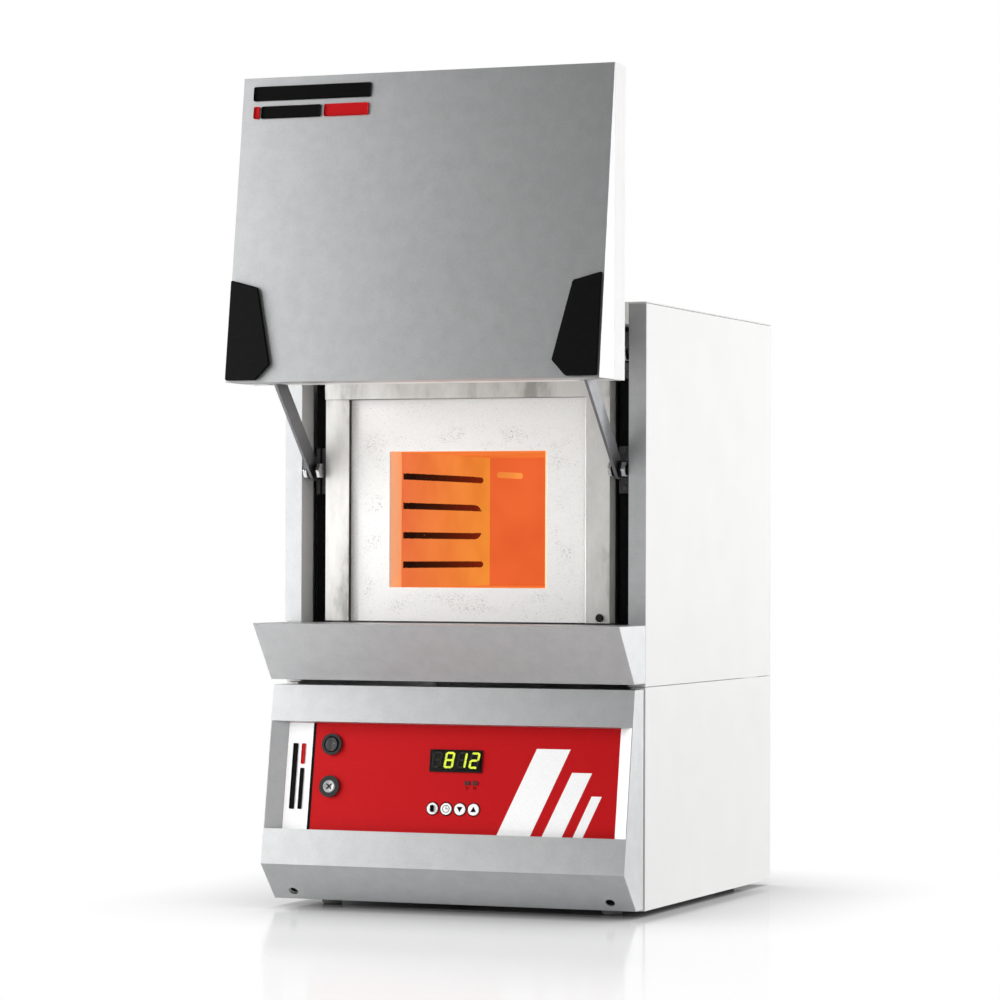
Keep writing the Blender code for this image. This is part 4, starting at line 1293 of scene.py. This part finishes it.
node(tree, "ShaderNodeOutputMaterial", {"Surface": both.outputs[0]})
floor.data.materials.append(floor_paint)
floor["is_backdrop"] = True
print("floor", floor.dimensions.x, "m wide")

# %% [markdown]
# ### Light from all round
#
# The world has two faces. The camera sees the backdrop. The furnace feels a softer
# one: light from the right and from far behind, nothing from the left, where the
# lamps do the work.

# %% World
world = bpy.data.worlds.new("studio")
bpy.context.scene.world = world
world.use_nodes = True
tree = world.node_tree
tree.nodes.clear()
direction = node(tree, "ShaderNodeTexCoord").outputs["Generated"]
heading = node(tree, "ShaderNodeSeparateXYZ", {"Vector": direction})
right = node(tree, "ShaderNodeMapRange", {"Value": heading.outputs["X"], "From Min": -0.1,
                                          "From Max": 0.4, "To Min": 0.0, "To Max": 0.48})
behind = node(tree, "ShaderNodeMapRange", {"Value": heading.outputs["Y"], "From Min": 0.65,
                                           "From Max": 0.85, "To Min": 0.0, "To Max": 1.0})
brighter = node(tree, "ShaderNodeMath", {0: right.outputs[0], 1: behind.outputs[0]},
                operation="MAXIMUM")
seen = node(tree, "ShaderNodeBackground", {"Color": (1, 1, 1, 1),
                                           "Strength": backdrop(tree, heading.outputs["Y"])})
felt = node(tree, "ShaderNodeBackground", {"Color": (1, 1, 1, 1), "Strength": brighter.outputs[0]})
path = node(tree, "ShaderNodeLightPath")
both = node(tree, "ShaderNodeMixShader", {0: path.outputs["Is Camera Ray"], 1: felt.outputs[0],
                                          2: seen.outputs[0]})
node(tree, "ShaderNodeOutputWorld", {"Surface": both.outputs[0]})
bpy.context.scene.view_settings.view_transform = "Standard"
print("world set for", bpy.context.scene.view_settings.view_transform, "colour")

# %% [markdown]
# ### Lamps
#
# The strongest lamps stand at the two sides. The left ones are close, so the silver
# front falls off to grey towards the right. A weak one fills the mouth from the right,
# and a strip near the floor lifts the furnace's skirt, as a white table would.

# %% Lamps
def hang(name, kind, power, **settings):
    lamp_data = bpy.data.lights.new(name, kind)
    lamp_data.energy = power
    for key, value in settings.items():
        setattr(lamp_data, key, value)
    lamp = bpy.data.objects.new(name, lamp_data)
    bpy.context.scene.collection.objects.link(lamp)
    return lamp


def soft_box(name, place, target, size, power):
    """A flat lamp of width by height metres, aimed at a target."""
    lamp = hang(name, "AREA", power, shape="RECTANGLE", size=size[0], size_y=size[1])
    aim = (Vector(target) - Vector(place)).to_track_quat("-Z", "Y")
    lamp.matrix_world = Matrix.Translation(place) @ aim.to_matrix().to_4x4()


def far_lamp(name, direction, power, width):
    """Even light from a direction, width degrees across."""
    lamp = hang(name, "SUN", power, angle=math.radians(width))
    lamp.matrix_world = Vector(direction).to_track_quat("Z", "Y").to_matrix().to_4x4()


soft_box("key_left", (-0.95, -0.95, 0.75), (0, -0.1, 0.5), (0.7, 1.3), 6.9)
soft_box("low_left", (-0.75, -1.2, 0.25), (-0.05, -0.2, 0.3), (0.6, 0.5), 1.5)
soft_box("side_left", (-1.2, -0.6, 0.5), (0, 0, 0.4), (0.6, 1.6), 23)
soft_box("side_right", (1.8, 1.4, 0.6), (0.2, 0.1, 0.35), (1.4, 1.4), 29)
soft_box("mouth", (0.75, -1.1, 0.5), (0, 0, 0.4), (0.5, 0.5), 1.1)
soft_box("skirt", (0.08, fascia_low.y - 0.13, 0.02), (0.07, fascia_low.y, 0.035),
         (0.26, 0.03), 0.035)
far_lamp("top", (0, 0, 1), 0.3, 60)
print("lamps:", ", ".join(sorted(lamp.name for lamp in bpy.data.lights)))

# %% [markdown]
# ## Finish
#
# The box of the finished model is printed, in millimetres.

# %% Sizes and the last line
low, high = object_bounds()
print("visual box in mm:", [round(v / MM, 1) for v in high - low])
